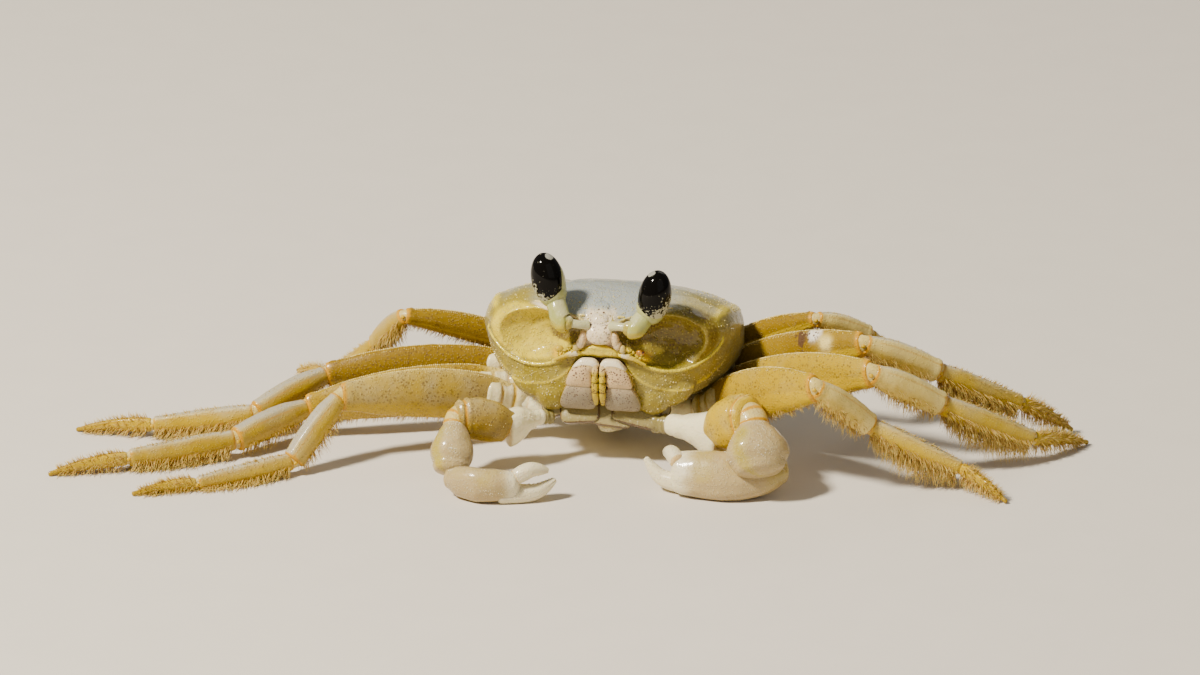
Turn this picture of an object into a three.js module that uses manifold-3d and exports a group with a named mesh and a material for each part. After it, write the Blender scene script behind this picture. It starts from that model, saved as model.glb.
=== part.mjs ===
// A ghost crab, life size, in millimetres: +Z up, the face towards -Y, the crab's left on +X.
import * as THREE from "three";
import { mergeVertices } from "three/addons/utils/BufferGeometryUtils.js";
import Module from "manifold-3d";

// ---- Sizes -------------------------------------------------------------------------------

const JOINT_GAP = 0.3; // between neighbouring segments of a limb
const FRONT_Y = -17.2; // front and rear of the carapace
const REAR_Y = 15.6;
const CREST_Z = 28.6; // top of the back, just behind the eyes
const BACK_SLOPE = 0.37; // fall of the back towards the rear: the front is held high
const CREST_Y = -6;
const CREST_SOFTNESS = 3;
const CROWN = 2.4; // fall of the back from the midline to its side edge
const UNDERSIDE_Z = 8.5; // underside of the carapace at the front
const UNDERSIDE_SLOPE = 0.12;
const HALF_WIDTH = 20; // at the gill chambers
const SHELL_SQUARENESS = 4.5; // exponent of the rounded box
// Half widths of the shell from front to rear, at its side edge and at its lower margin.
const SHELL_EDGE = [20.4, 20.4, 20.7, 20.9, 20.2, 18.2, 14.8];
const SHELL_MARGIN = [11, 14, 17.2, 19, 19, 17, 12.4];
const SHELL_SHOULDER = [0.95, 0.7, 0.46, 0.4, 0.38]; // share of the height where a side reaches its edge
const SHELL_SIDE_POWER = 0.7;
const ORBIT = { x: 11.8, y: -18.0, z: 22.0, across: 7.3, deep: 5.0, high: 5.0, lean: 4 };
const ROSTRUM = { y: -16.3, z: 23.4, across: 2.4, deep: 1.9, high: 3.1 };

// The breast: front and rear, half widths, and the height of its underside from front to rear.
const THORAX_FRONT_Y = -14.6;
const THORAX_REAR_Y = 13;
const THORAX_SQUARENESS = 3.5;
const THORAX_HALF_WIDTH = [8.5, 12, 13, 12.5, 9];
const THORAX_LOWEST = [6.6, 4.4, 3.6, 4.2, 7];
const THORAX_NARROWING = 0.75; // width at the underside, as a share of the width at the top
const SHELL_TO_THORAX = 0.4; // gap between the shell's underside and the breast
const SOCKET_ROOT_X = 9; // the leg sockets leave the breast here
const SOCKET_HALF = 2.1;

// Lengths from hip to knee, then carpus, propodus and dactyl, for the four walking legs.
const LEG_LENGTHS = [
  [31, 13, 16.5, 10.5],
  [35, 14.5, 18, 13],
  [33, 14.5, 17, 13],
  [25, 11, 13, 11],
];
// Half height and half thickness of the merus, carpus, propodus and dactyl.
const LEG_HALVES = [
  [[4.1, 1.85], [2.1, 1.6], [2.0, 1.15], [1.2, 0.8]],
  [[4.1, 1.85], [2.2, 1.7], [2.3, 1.25], [1.3, 0.85]],
  [[3.7, 1.8], [2.1, 1.6], [2.1, 1.2], [1.3, 0.85]],
  [[2.3, 1.5], [1.7, 1.3], [1.6, 1.0], [1.0, 0.7]],
];
// Hip of each walking leg on the crab's left.
const HIPS = [
  [15, -6, 6.8],
  [16, -1, 7.6],
  [15.5, 4, 8.6],
  [13.5, 9, 9.6],
];
// Degrees, for the merus, carpus, propodus and dactyl: heading forward of straight out to the side, and rise.
const LEFT_LEGS = [
  { heading: [43, -38, -10, 38], rise: [23, -39, -27] },
  { heading: [32, -34, -28, -50], rise: [19.5, -30, -26] },
  { heading: [30, -30, -32, -45], rise: [23, -26, -27] },
  { heading: [28, -38, -57, -60], rise: [29, -24, -45] },
];
const RIGHT_LEGS = [
  { heading: [29, 48, 32, 25], rise: [8, -42, -5] },
  { heading: [17, 48, 28, 20], rise: [-4, -8, -3] },
  { heading: [12, 46, 6, -2], rise: [-1, -14, -8] },
  { heading: [23, -43, -35, -45], rise: [20, -42, -38] },
];
const LEG_CLEARANCE = 0.35; // between a leg's root and the shell's lower edge
const TIP_Z = 0.35; // height of a dactyl's tip: its underside is flattened at the floor

// Joints of the two claw arms, from the root to the tips of the fixed and the movable finger.
// lean turns the palm about its length in degrees. palm and arm are half height and half thickness.
const CLAWS = {
  left: {
    root: [8.3, -14.6, 7.4],
    elbow: [18.8, -18.6, 7.4],
    knee: [25.3, -22.9, 12.2],
    wrist: [27.5, -29.0, 5.4],
    heel: [30.2, -23.8, 4.2],
    middle: [22.7, -26.8, 3.6],
    base: [14.2, -26.6, 3.7],
    tip: [8.6, -24.8, 5.0],
    fingerTip: [11.4, -22.6, 5.4],
    lean: 28,
    palm: [3.9, 2.6],
    arm: [4.0, 3.9],
    hinge: 1.9,
  },
  right: {
    root: [-8.3, -14.6, 7.4],
    elbow: [-14.6, -19.8, 7.4],
    knee: [-22.6, -23.4, 9.6],
    wrist: [-22.2, -30.2, 2.9],
    heel: [-21.6, -33.0, 2.8],
    middle: [-16.6, -35.0, 2.9],
    base: [-11.2, -34.6, 3.0],
    tip: [-5.0, -32.2, 3.3],
    fingerTip: [-6.1, -32.6, 5.1],
    lean: 15,
    palm: [2.8, 2.1],
    arm: [3.2, 2.7],
    hinge: 1.4,
  },
};

// Share of a segment's full section at equal steps along it.
const MERUS = { high: [0.52, 0.88, 1, 0.98, 0.82, 0.48], wide: [0.8, 0.95, 1, 1, 0.95, 0.75] };
const CARPUS = { high: [0.78, 1, 1.08, 1.02, 0.85], wide: [0.8, 1, 1, 1, 0.85] };
const PROPODUS = { high: [0.72, 0.95, 1, 0.98, 0.85, 0.62], wide: [0.85, 1, 1, 0.95, 0.85, 0.7] };
const DACTYL = { high: [0.85, 1, 0.85, 0.68, 0.5, 0.36], wide: [0.85, 1, 0.85, 0.72, 0.58, 0.45] };
const ISCHIUM = { high: [0.5, 0.62, 0.78, 0.95, 1.05], wide: [0.5, 0.62, 0.8, 0.95, 1] };
const PALM = { high: [0.5, 0.86, 1, 1, 0.94, 0.84], wide: [0.6, 0.95, 1, 1, 0.9, 0.7] };
const WRIST = { high: [0.62, 0.95, 1.05, 0.95, 0.6], wide: [0.55, 0.85, 1.1, 1.15, 0.8] };
const FIXED_FINGER = { high: [1, 0.95, 0.8, 0.6, 0.35], wide: [1, 1, 0.85, 0.6, 0.35] };
const MOVABLE_FINGER = { high: [0.9, 1, 0.9, 0.7, 0.45], wide: [0.9, 1, 0.9, 0.7, 0.45] };
const PLEON = { high: [1, 1, 1, 1], wide: [0.4, 0.6, 0.75, 0.9, 1] };
const MOUTHPART = { high: [0.8, 1, 1, 0.8], wide: [0.85, 1, 1, 0.95, 0.75] };
const STALK = { high: [0.8, 0.8, 0.95, 1.1, 1.1], wide: [0.8, 0.8, 0.95, 1.1, 1.1] };
const FEELER = { high: [1, 0.9, 0.5, 0.35], wide: [1, 0.9, 0.5, 0.35] };

// Half height and half thickness of the swept parts that are alike on both sides.
const FIXED_FINGER_HALVES = [1.7, 1.5];
const MOVABLE_FINGER_HALVES = [1.35, 1.3];
const PLEON_HALVES = [0.55, 3.6];
const MOUTHPART_HALVES = [0.6, 2.9];
const STALK_HALVES = [1.45, 1.45];
const FEELER_HALVES = [0.75, 0.75];
const ISCHIUM_SHARE = 0.75; // section of a claw's first segment against its arm's
const WRIST_HIGH_SHARE = 0.95; // section of the wrist against the arm's
const WRIST_WIDE_SHARE = 1.1;
const FINGER_ARCH = 0.7; // height of the movable finger's bow
const FINGER_SINK = 1.1; // depth of the fixed finger's bow, in hinge heights
const FINGER_OVERLAP = 2; // length of the fixed finger inside the palm
const PROPODUS_SAG = 0.3; // a propodus hangs this far below the line between its joints
const MERUS_BOW = 0.9; // a merus arches this far above the line between its joints

const CORNEA = { across: 2.65, deep: 2.75, high: 4.45 };
const CORNEA_CLEARANCE = 0.25; // between a cornea and its stalk
const EYES = {
  left: { side: 1, cornea: [8.8, -17.4, 29.9], lean: 10 },
  right: { side: -1, cornea: [-8.6, -16.6, 31.6], lean: -12 },
};

const SHELL_COLOUR = 0xb9c0a8;
const UNDER_COLOUR = 0xf0ead0;
const MOUTH_COLOUR = 0xe8e0c8;
const LEG_COLOUR = 0xd8b860;
const ARM_COLOUR = 0xdcc070;
const CLAW_COLOUR = 0xd8d4d0;
const FINGER_COLOUR = 0xf4f2ea;
const STALK_COLOUR = 0xe8e0b0;
const FEELER_COLOUR = 0xd8a050;
const CORNEA_COLOUR = 0x111111;

const wasm = await Module();
wasm.setup();
const group = new THREE.Group();
group.name = "ghost_crab";

// ---- Helpers -----------------------------------------------------------------------------

const point = (xyz) => new THREE.Vector3(...xyz);
const mix = THREE.MathUtils.lerp;
const upwards = (height) => new THREE.Vector3(0, 0, height);

// The value at t (0 to 1) of a row of values at equal steps.
function along(values, t) {
  const place = Math.min(Math.max(t, 0), 1) * (values.length - 1);
  const step = Math.min(Math.floor(place), values.length - 2);
  return mix(values[step], values[step + 1], place - step);
}

// A unit vector from a heading and a rise in degrees, side +1 for the crab's left.
function direction(side, heading, rise) {
  const turn = THREE.MathUtils.degToRad(heading);
  const lift = THREE.MathUtils.degToRad(rise);
  return new THREE.Vector3(
    side * Math.cos(turn) * Math.cos(lift),
    -Math.sin(turn) * Math.cos(lift),
    Math.sin(lift),
  );
}

function toManifold(geometry) {
  const bare = geometry.clone();
  bare.deleteAttribute("normal");
  bare.deleteAttribute("uv");
  const merged = mergeVertices(bare, 1e-4);
  return new wasm.Manifold(
    new wasm.Mesh({
      numProp: 3,
      vertProperties: Float32Array.from(merged.attributes.position.array),
      triVerts: Uint32Array.from(merged.index.array),
    }),
  );
}

function toGeometry(solid) {
  const mesh = solid.getMesh();
  const geometry = new THREE.BufferGeometry();
  const places = Float32Array.from(mesh.vertProperties);
  geometry.setAttribute("position", new THREE.BufferAttribute(places, 3));
  geometry.setIndex(new THREE.BufferAttribute(Uint32Array.from(mesh.triVerts), 1));
  return geometry;
}

function addMesh(name, geometry, colour) {
  const material = new THREE.MeshStandardMaterial({ color: colour, roughness: 0.5, side: THREE.DoubleSide });
  const mesh = new THREE.Mesh(geometry, material);
  mesh.name = name;
  group.add(mesh);
}

// Rounds a cut cube and moves each vertex to placeOf its across (-1 to 1), rearward and upward (0 to 1).
function shapeRoundedBox(geometry, squareness, placeOf) {
  const places = geometry.attributes.position;
  for (let i = 0; i < places.count; i++) {
    const at = [places.getX(i), places.getY(i), places.getZ(i)];
    const size = at.reduce((sum, value) => sum + Math.abs(value) ** squareness, 0) ** (1 / squareness);
    const [across, lengthways, upright] = at.map((value) => value / size);
    places.setXYZ(i, ...placeOf(across, (lengthways + 1) / 2, (upright + 1) / 2));
  }
  return toManifold(geometry);
}

// A scaled sphere, turned about Y by lean degrees.
function blob(centre, size, lean = 0, around = 14, rings = 9) {
  return new THREE.SphereGeometry(1, around, rings)
    .rotateX(Math.PI / 2)
    .scale(...size)
    .rotateY(THREE.MathUtils.degToRad(lean))
    .translate(...centre);
}

// A body lofted along a curve with oval sections. Its ends are square, or on planes with the given normals.
function loft(curve, halves, shape, options = {}) {
  const { sides = 12, rings = 6, startNormal = null, endNormal = null, lean = 0 } = options;
  const geometry = new THREE.CylinderGeometry(1, 1, 1, sides, rings);
  const places = geometry.attributes.position;
  const startAxis = curve.getTangent(0);
  const endAxis = curve.getTangent(1);
  const length = curve.getLength();
  for (let i = 0; i < places.count; i++) {
    const t = places.getY(i) + 0.5;
    const axis = curve.getTangent(t);
    const up = new THREE.Vector3(0, 0, 1).addScaledVector(axis, -axis.z).normalize();
    up.applyAxisAngle(axis, THREE.MathUtils.degToRad(lean));
    const side = axis.clone().cross(up);
    const high = halves[0] * along(shape.high, t);
    const wide = halves[1] * along(shape.wide, t);
    const offset = side.multiplyScalar(places.getX(i) * wide);
    offset.addScaledVector(up, places.getZ(i) * high);
    const spot = curve.getPoint(t).add(offset);
    for (const [normal, share, base, inward] of [
      [startNormal ?? startAxis, 1 - t / 0.5, startAxis, 1],
      [endNormal ?? endAxis, (t - 0.5) / 0.5, endAxis, -1],
    ]) {
      const tilt = base.dot(normal);
      const back = (inward * JOINT_GAP) / 2 - offset.dot(normal);
      const reach = length * 0.45;
      const shift = THREE.MathUtils.clamp(back / tilt, -reach, reach);
      spot.addScaledVector(base, shift * Math.max(0, share));
    }
    places.setXYZ(i, spot.x, spot.y, Math.max(spot.z, 0));
  }
  return geometry;
}

// The largest of the bodies that a cut leaves.
function largest(solid) {
  const bodies = solid.decompose();
  return bodies.reduce((best, body) => (body.volume() > best.volume() ? body : best));
}

// The plane that halves the bend between two directions.
const halving = (a, b) => a.clone().add(b).normalize();

// ---- Carapace ----------------------------------------------------------------------------

// Height of the back over a place on the floor.
function backHeight(x, y) {
  const behind = y - CREST_Y;
  const fall = (BACK_SLOPE * (Math.hypot(behind, CREST_SOFTNESS) + behind)) / 2;
  return CREST_Z - fall - CROWN * (x / HALF_WIDTH) ** 2;
}

const undersideHeight = (y) => UNDERSIDE_Z + UNDERSIDE_SLOPE * (y - FRONT_Y);

// Half width at a place from front (0) to rear (1) and from underside (0) to back (1).
function halfWidth(rearward, upward) {
  const risen = Math.min(1, upward / along(SHELL_SHOULDER, rearward));
  return mix(along(SHELL_MARGIN, rearward), along(SHELL_EDGE, rearward), risen ** SHELL_SIDE_POWER);
}

function carapace() {
  const box = new THREE.BoxGeometry(2, 2, 2, 14, 10, 7);
  let solid = shapeRoundedBox(box, SHELL_SQUARENESS, (across, rearward, upward) => {
    const x = across * halfWidth(rearward, upward);
    const y = mix(FRONT_Y, REAR_Y, rearward);
    return [x, y, mix(undersideHeight(y), backHeight(x, y), upward)];
  });
  const orbitSize = [ORBIT.across, ORBIT.deep, ORBIT.high];
  for (const side of [-1, 1]) {
    const hollow = blob([side * ORBIT.x, ORBIT.y, ORBIT.z], orbitSize, side * ORBIT.lean, 16, 8);
    solid = solid.subtract(toManifold(hollow));
  }
  const lobe = blob([0, ROSTRUM.y, ROSTRUM.z], [ROSTRUM.across, ROSTRUM.deep, ROSTRUM.high], 0, 10, 8);
  solid = solid.add(toManifold(lobe));
  return legRooms.reduce((shell, room) => shell.subtract(toManifold(room)), solid);
}

// ---- Thorax, tail flap and mouth ---------------------------------------------------------

function thorax() {
  const box = new THREE.BoxGeometry(2, 2, 2, 6, 6, 3);
  let solid = shapeRoundedBox(box, THORAX_SQUARENESS, (across, rearward, upward) => {
    const x = across * along(THORAX_HALF_WIDTH, rearward) * mix(THORAX_NARROWING, 1, upward);
    const y = mix(THORAX_FRONT_Y, THORAX_REAR_Y, rearward);
    return [x, y, mix(along(THORAX_LOWEST, rearward), undersideHeight(y) - SHELL_TO_THORAX, upward)];
  });
  for (const side of [-1, 1]) {
    HIPS.forEach(([x, y, z], leg) => {
      const inner = new THREE.Vector3(side * SOCKET_ROOT_X, y, z - 1);
      const outer = new THREE.Vector3(side * x, y, z);
      const halves = [SOCKET_HALF - 0.1 * leg, 2];
      const stub = loft(new THREE.LineCurve3(inner, outer), halves, CARPUS, { sides: 8, rings: 1 });
      solid = solid.add(toManifold(stub));
    });
  }
  return solid;
}

function pleon() {
  const outline = new THREE.CatmullRomCurve3([
    new THREE.Vector3(0, -10.4, 4.2),
    new THREE.Vector3(0, -4, 2.6),
    new THREE.Vector3(0, 4, 2.6),
    new THREE.Vector3(0, 10.5, 4.4),
  ]);
  return loft(outline, PLEON_HALVES, PLEON, { sides: 10, rings: 8 });
}

function maxilliped(side) {
  const plate = new THREE.CatmullRomCurve3([
    new THREE.Vector3(side * 3.2, -16.4, 10.0),
    new THREE.Vector3(side * 3.2, -18.0, 14.0),
    new THREE.Vector3(side * 3.1, -18.5, 18.7),
  ]);
  return loft(plate, MOUTHPART_HALVES, MOUTHPART, { sides: 10, rings: 6 });
}

// ---- Eyes and feelers --------------------------------------------------------------------

function addEye(name, { side, cornea, lean }) {
  const size = [CORNEA.across, CORNEA.deep, CORNEA.high];
  const ball = blob(cornea, size, lean, 13, 9);
  const room = blob(cornea, size.map((value) => value + CORNEA_CLEARANCE), lean, 13, 9);
  const foot = new THREE.Vector3(side * 2.9, -18.9, 25.0);
  const bend = new THREE.Vector3(side * 5.4, -19.2, 24.9);
  const top = point(cornea).add(new THREE.Vector3(-side * 1.1, 0, -2.5));
  const curve = new THREE.CatmullRomCurve3([foot, bend, top]);
  const stalk = loft(curve, STALK_HALVES, STALK, { sides: 10 });
  addMesh("cornea_" + name, ball, CORNEA_COLOUR);
  addMesh("eyestalk_" + name, toGeometry(toManifold(stalk).subtract(toManifold(room))), STALK_COLOUR);
}

function antenna(side) {
  const curve = new THREE.CatmullRomCurve3([
    new THREE.Vector3(side * 3.2, -18.6, 19.9),
    new THREE.Vector3(side * 5.0, -19.3, 19.4),
    new THREE.Vector3(side * 7.6, -19.8, 19.8),
  ]);
  return loft(curve, FEELER_HALVES, FEELER, { sides: 8, rings: 5 });
}

const legRooms = []; // space that the shell leaves round each leg's root

// ---- Limbs -------------------------------------------------------------------------------

function addLeg(name, side, leg, pose) {
  const lengths = LEG_LENGTHS[leg];
  const [x, y, z] = HIPS[leg];
  const joints = [new THREE.Vector3(side * x, y, z)];
  const ways = [];
  for (let part = 0; part < 4; part++) {
    const start = joints[part];
    const fall = (TIP_Z - start.z) / lengths[part];
    const rise = pose.rise[part] ?? THREE.MathUtils.radToDeg(Math.asin(Math.max(fall, -0.98)));
    ways.push(direction(side, pose.heading[part], rise));
    joints.push(start.clone().addScaledVector(ways[part], lengths[part]));
  }
  const parts = [
    ["merus", MERUS, 12, 5, -MERUS_BOW],
    ["carpus", CARPUS, 12, 4, 0],
    ["propodus", PROPODUS, 10, 4, PROPODUS_SAG],
    ["dactyl", DACTYL, 8, 5, 0],
  ];
  parts.forEach(([part, shape, sides, rings, sag], index) => {
    const bend = joints[index].clone().lerp(joints[index + 1], 0.5).add(upwards(-2 * sag));
    const curve = new THREE.QuadraticBezierCurve3(joints[index], bend, joints[index + 1]);
    const startNormal = index ? halving(ways[index - 1], ways[index]) : new THREE.Vector3(side, 0, 0);
    const endNormal = index < 3 ? halving(ways[index], ways[index + 1]) : null;
    const options = { sides, rings, startNormal, endNormal };
    const halves = LEG_HALVES[leg][index];
    addMesh(`${name}_${part}`, loft(curve, halves, shape, options), LEG_COLOUR);
    if (!index) legRooms.push(loft(curve, halves.map((half) => half + LEG_CLEARANCE), shape, options));
  });
}

// The palm with its fixed finger, and the movable finger beside it. Returns the room that the palm takes.
function addHand(name, claw) {
  const curve = new THREE.CatmullRomCurve3([claw.heel, claw.middle, claw.base].map(point));
  const palmOptions = { sides: 12, rings: 6, lean: claw.lean };
  const body = loft(curve, claw.palm, PALM, palmOptions);
  const [base, tip, fingerTip] = [claw.base, claw.tip, claw.fingerTip].map(point);
  const inward = curve.getTangent(1);
  const root = base.clone().addScaledVector(inward, -FINGER_OVERLAP).add(upwards(-claw.hinge));
  const bow = base.clone().lerp(tip, 0.5).add(upwards(-claw.hinge * FINGER_SINK));
  const fixed = new THREE.CatmullRomCurve3([root, bow, tip]);
  const fixedOptions = { sides: 10, rings: 7 };
  const fixedBody = loft(fixed, FIXED_FINGER_HALVES, FIXED_FINGER, fixedOptions);
  addMesh(`${name}_palm`, toGeometry(toManifold(body).add(toManifold(fixedBody))), CLAW_COLOUR);

  const hinge = base.clone().addScaledVector(inward, JOINT_GAP).add(upwards(claw.hinge));
  const arch = hinge.clone().lerp(fingerTip, 0.5).add(upwards(FINGER_ARCH));
  const finger = new THREE.CatmullRomCurve3([hinge, arch, fingerTip]);
  const fingerBody = loft(finger, MOVABLE_FINGER_HALVES, MOVABLE_FINGER, { sides: 10, startNormal: inward });
  const wider = (halves) => halves.map((half) => half + JOINT_GAP);
  const fixedRoom = loft(fixed, wider(FIXED_FINGER_HALVES), FIXED_FINGER, fixedOptions);
  const palmRoom = loft(curve, wider(claw.palm), PALM, palmOptions);
  const clear = toManifold(fingerBody).subtract(toManifold(fixedRoom));
  addMesh(`${name}_finger`, toGeometry(largest(clear.subtract(toManifold(body)))), FINGER_COLOUR);
  return palmRoom;
}

function addClaw(name, claw) {
  const [root, elbow, knee, wrist] = [claw.root, claw.elbow, claw.knee, claw.wrist].map(point);
  const ways = [
    elbow.clone().sub(root).normalize(),
    knee.clone().sub(elbow).normalize(),
    wrist.clone().sub(knee).normalize(),
  ];
  const palmRoom = addHand(name, claw);
  const [high, wide] = claw.arm;
  const ischiumHalves = [high * ISCHIUM_SHARE, wide * ISCHIUM_SHARE];
  const ischium = loft(new THREE.LineCurve3(root, elbow), ischiumHalves, ISCHIUM, {
    sides: 12,
    rings: 4,
    endNormal: halving(ways[0], ways[1]),
  });
  const arm = loft(new THREE.LineCurve3(elbow, knee), claw.arm, CARPUS, {
    sides: 14,
    rings: 5,
    startNormal: halving(ways[0], ways[1]),
    endNormal: halving(ways[1], ways[2]),
  });
  const wristHalves = [high * WRIST_HIGH_SHARE, wide * WRIST_WIDE_SHARE];
  const shield = loft(new THREE.LineCurve3(knee, wrist), wristHalves, WRIST, {
    sides: 14,
    rings: 5,
    startNormal: halving(ways[1], ways[2]),
  });
  addMesh(`${name}_ischium`, ischium, UNDER_COLOUR);
  addMesh(`${name}_arm`, arm, ARM_COLOUR);
  addMesh(`${name}_wrist`, toGeometry(toManifold(shield).subtract(toManifold(palmRoom))), CLAW_COLOUR);
}

// ---- Assembly ----------------------------------------------------------------------------

addMesh("thorax", toGeometry(thorax()), UNDER_COLOUR);
addMesh("pleon", pleon(), UNDER_COLOUR);
for (const [name, side] of [["left", 1], ["right", -1]]) {
  addMesh("maxilliped_" + name, maxilliped(side), MOUTH_COLOUR);
  addMesh("antenna_" + name, antenna(side), FEELER_COLOUR);
  addEye(name, EYES[name]);
  addClaw("claw_" + name, CLAWS[name]);
  const poses = side > 0 ? LEFT_LEGS : RIGHT_LEGS;
  poses.forEach((pose, leg) => addLeg(`leg_${name}_${leg + 1}`, side, leg, pose));
}

addMesh("carapace", toGeometry(carapace()), SHELL_COLOUR);

// The middle of the bounding box's underside goes to the origin.
const bounds = new THREE.Box3().setFromObject(group, true);
const middle = bounds.getCenter(new THREE.Vector3());
for (const mesh of group.children) mesh.geometry.translate(-middle.x, -middle.y, -bounds.min.z);

export default group;
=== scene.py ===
"""Looks of a life-size ghost crab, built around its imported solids.

Every shape is worked out in millimetres in the crab's own frame (face towards -Y, the crab's left on +X,
floor at Z = 0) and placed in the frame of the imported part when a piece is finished.
"""

import logging
import math
import random
from dataclasses import dataclass, field
from enum import Enum
from functools import partial
from typing import Callable, Sequence

import bmesh
import bpy
from mathutils import Matrix, Vector, noise
from mathutils.bvhtree import BVHTree

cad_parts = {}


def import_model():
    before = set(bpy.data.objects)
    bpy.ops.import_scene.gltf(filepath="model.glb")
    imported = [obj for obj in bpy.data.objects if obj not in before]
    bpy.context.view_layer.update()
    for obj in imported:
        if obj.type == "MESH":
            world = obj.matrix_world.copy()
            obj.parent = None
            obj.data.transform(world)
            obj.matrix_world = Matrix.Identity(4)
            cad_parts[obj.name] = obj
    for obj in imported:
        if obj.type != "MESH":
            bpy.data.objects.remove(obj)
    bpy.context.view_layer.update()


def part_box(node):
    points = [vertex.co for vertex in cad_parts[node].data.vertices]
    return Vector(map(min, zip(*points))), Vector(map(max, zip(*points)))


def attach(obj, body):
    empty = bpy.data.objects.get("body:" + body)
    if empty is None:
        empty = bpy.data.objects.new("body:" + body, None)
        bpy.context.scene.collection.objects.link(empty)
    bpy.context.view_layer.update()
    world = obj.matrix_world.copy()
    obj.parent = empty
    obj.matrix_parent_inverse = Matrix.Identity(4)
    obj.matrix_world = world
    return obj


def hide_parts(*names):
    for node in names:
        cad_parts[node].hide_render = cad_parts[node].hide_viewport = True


LOG = logging.getLogger("ghost_crab")
MM = 0.001
UP = Vector((0, 0, 1))
# deep carries darker tones and, on some pieces, painted shade; blush carries pink-cream and, on the orbit
# brows and rims, partly a painted highlight
MASKS = ("warm", "pale", "orange", "dark", "deep", "blush")
CORNEA_LEFT = Vector((8.8, -17.4, 29.9))
JOINT_GAP = 0.3
LOWEST_SKIN, LOWEST_BRISTLE, LOWEST_TIP = 0.02, 0.05, 0.15  # heights over the floor
CAP = 0.16  # share of a sweep's rings that round off each end
GLANCE = 0.01  # share of the way over which a path's direction is read
DOT_REACH = 0.42  # share of a cell that a dot covers

Colour = tuple[float, float, float]
Triple = tuple[float, float, float]
Pair = tuple[float, float]
Quad = tuple[float, float, float, float]
Masks = dict[str, float]
Path = Callable[[float], Vector]
Shape = Callable[[Vector], Vector]
Beads = Sequence[tuple[Vector, float]]


class Side(Enum):
    """A side of the crab's body, with its sign along X."""

    LEFT = 1
    RIGHT = -1

    @property
    def label(self) -> str:
        """The side's name in node names."""
        return self.name.lower()


class Detail(Enum):
    """How fine a swept skin is: segments around and along it."""

    FINE = (40, 56)
    MEDIUM = (28, 40)
    PLAIN = (18, 22)
    LONG = (10, 220)


# ---- Numbers ----


def mix(a: float, b: float, share: float) -> float:
    """The value a share of the way from a to b."""
    return a + (b - a) * share


def clamp(value: float, low: float = 0.0, high: float = 1.0) -> float:
    """The value kept between low and high."""
    return max(low, min(high, value))


def ease(value: float, low: float, high: float) -> float:
    """A smooth step from 0 at low to 1 at high."""
    share = clamp((value - low) / (high - low))
    return share * share * (3 - 2 * share)


def hump(value: float, centre: float, width: float) -> float:
    """A bell of height 1 round a centre."""
    return math.exp(-(((value - centre) / width) ** 2))


def along(values: Sequence[float], share: float) -> float:
    """The value at a share (0 to 1) of a row of values at equal steps, rounded between them."""
    place = clamp(share) * (len(values) - 1)
    step = min(int(place), len(values) - 2)
    t = place - step
    before = values[max(step - 1, 0)]
    after = values[min(step + 2, len(values) - 1)]
    a, b = values[step], values[step + 1]
    lean_a, lean_b = (b - before) / 2, (after - a) / 2
    return (
        (2 * t**3 - 3 * t**2 + 1) * a
        + (t**3 - 2 * t**2 + t) * lean_a
        + (3 * t**2 - 2 * t**3) * b
        + (t**3 - t**2) * lean_b
    )


def route(points: Sequence[Vector]) -> Path:
    """The smooth path through points."""
    return lambda share: Vector([along([p[axis] for p in points], share) for axis in range(3)])


def arch(start: Vector, end: Vector, first: float, last: float, height: float = 0.0) -> Path:
    """The path over a part of the way between two places, raised in the middle."""
    return lambda share: start.lerp(end, mix(first, last, share)) + UP * (height * math.sin(share * math.pi))


def tilt(degrees: float, axis: str | Vector = "Y") -> Matrix:
    """A rotation about an axis."""
    return Matrix.Rotation(math.radians(degrees), 3, axis)


def egg(centre: Vector, size: Sequence[float], turn: Matrix | None = None) -> Shape:
    """Moves a point of the unit ball to a ball with other half sizes, turned about its centre."""
    turn, stretch = turn or Matrix.Identity(3), Matrix.Diagonal(Vector(size))
    return lambda unit: centre + turn @ (stretch @ unit)


def upright(way: Vector) -> Vector:
    """The direction square to a way that is nearest to straight up."""
    return (UP - way * way.z).normalized()


def heading_vector(side: Side, heading: float, rise: float) -> Vector:
    """A unit vector from a heading forward of straight out, and a rise, in degrees."""
    turn, lift = math.radians(heading), math.radians(rise)
    flat = math.cos(lift)
    return Vector((side.value * math.cos(turn) * flat, -math.sin(turn) * flat, math.sin(lift)))


def grain(place: Vector, size: float) -> float:
    """Smooth noise from -1 to 1 whose lumps are about size millimetres across."""
    return noise.noise(place / size)


# ---- Shader expressions ----


class Signal:
    """A shader socket that takes part in Python expressions on values, which become Math nodes."""

    def __init__(self, graph: "Graph", socket: bpy.types.NodeSocket) -> None:
        """Wraps a socket of a graph."""
        self.graph = graph
        self.socket = socket

    def _math(self, operation: str, *values: "Signal | float") -> "Signal":
        """Adds the Math node for an operation."""
        node = self.graph.node("ShaderNodeMath", {"operation": operation}, dict(enumerate(values)))
        return Signal(self.graph, node.outputs[0])

    def __add__(self, other: "Signal | float") -> "Signal":
        """self + other."""
        return self._math("ADD", self, other)

    __radd__ = __add__

    def __sub__(self, other: "Signal | float") -> "Signal":
        """self - other."""
        return self._math("SUBTRACT", self, other)

    def __rsub__(self, other: "Signal | float") -> "Signal":
        """other - self."""
        return self._math("SUBTRACT", other, self)

    def __mul__(self, other: "Signal | float") -> "Signal":
        """self * other."""
        return self._math("MULTIPLY", self, other)

    __rmul__ = __mul__

    def above(self, low: float, high: float) -> "Signal":
        """A smooth step from 0 at low to 1 at high."""
        node = self.graph.node(
            "ShaderNodeMapRange",
            {"interpolation_type": "SMOOTHSTEP"},
            {"Value": self, "From Min": low, "From Max": high},
        )
        return Signal(self.graph, node.outputs[0])

    def tint(self, low: "Signal | Colour", high: "Signal | Colour") -> "Signal":
        """A colour that goes from low to high as this value goes from 0 to 1."""
        settings = {"data_type": "RGBA", "clamp_factor": True}
        node = self.graph.node("ShaderNodeMix", settings, {0: self, 6: low, 7: high})
        return Signal(self.graph, node.outputs[2])


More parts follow.
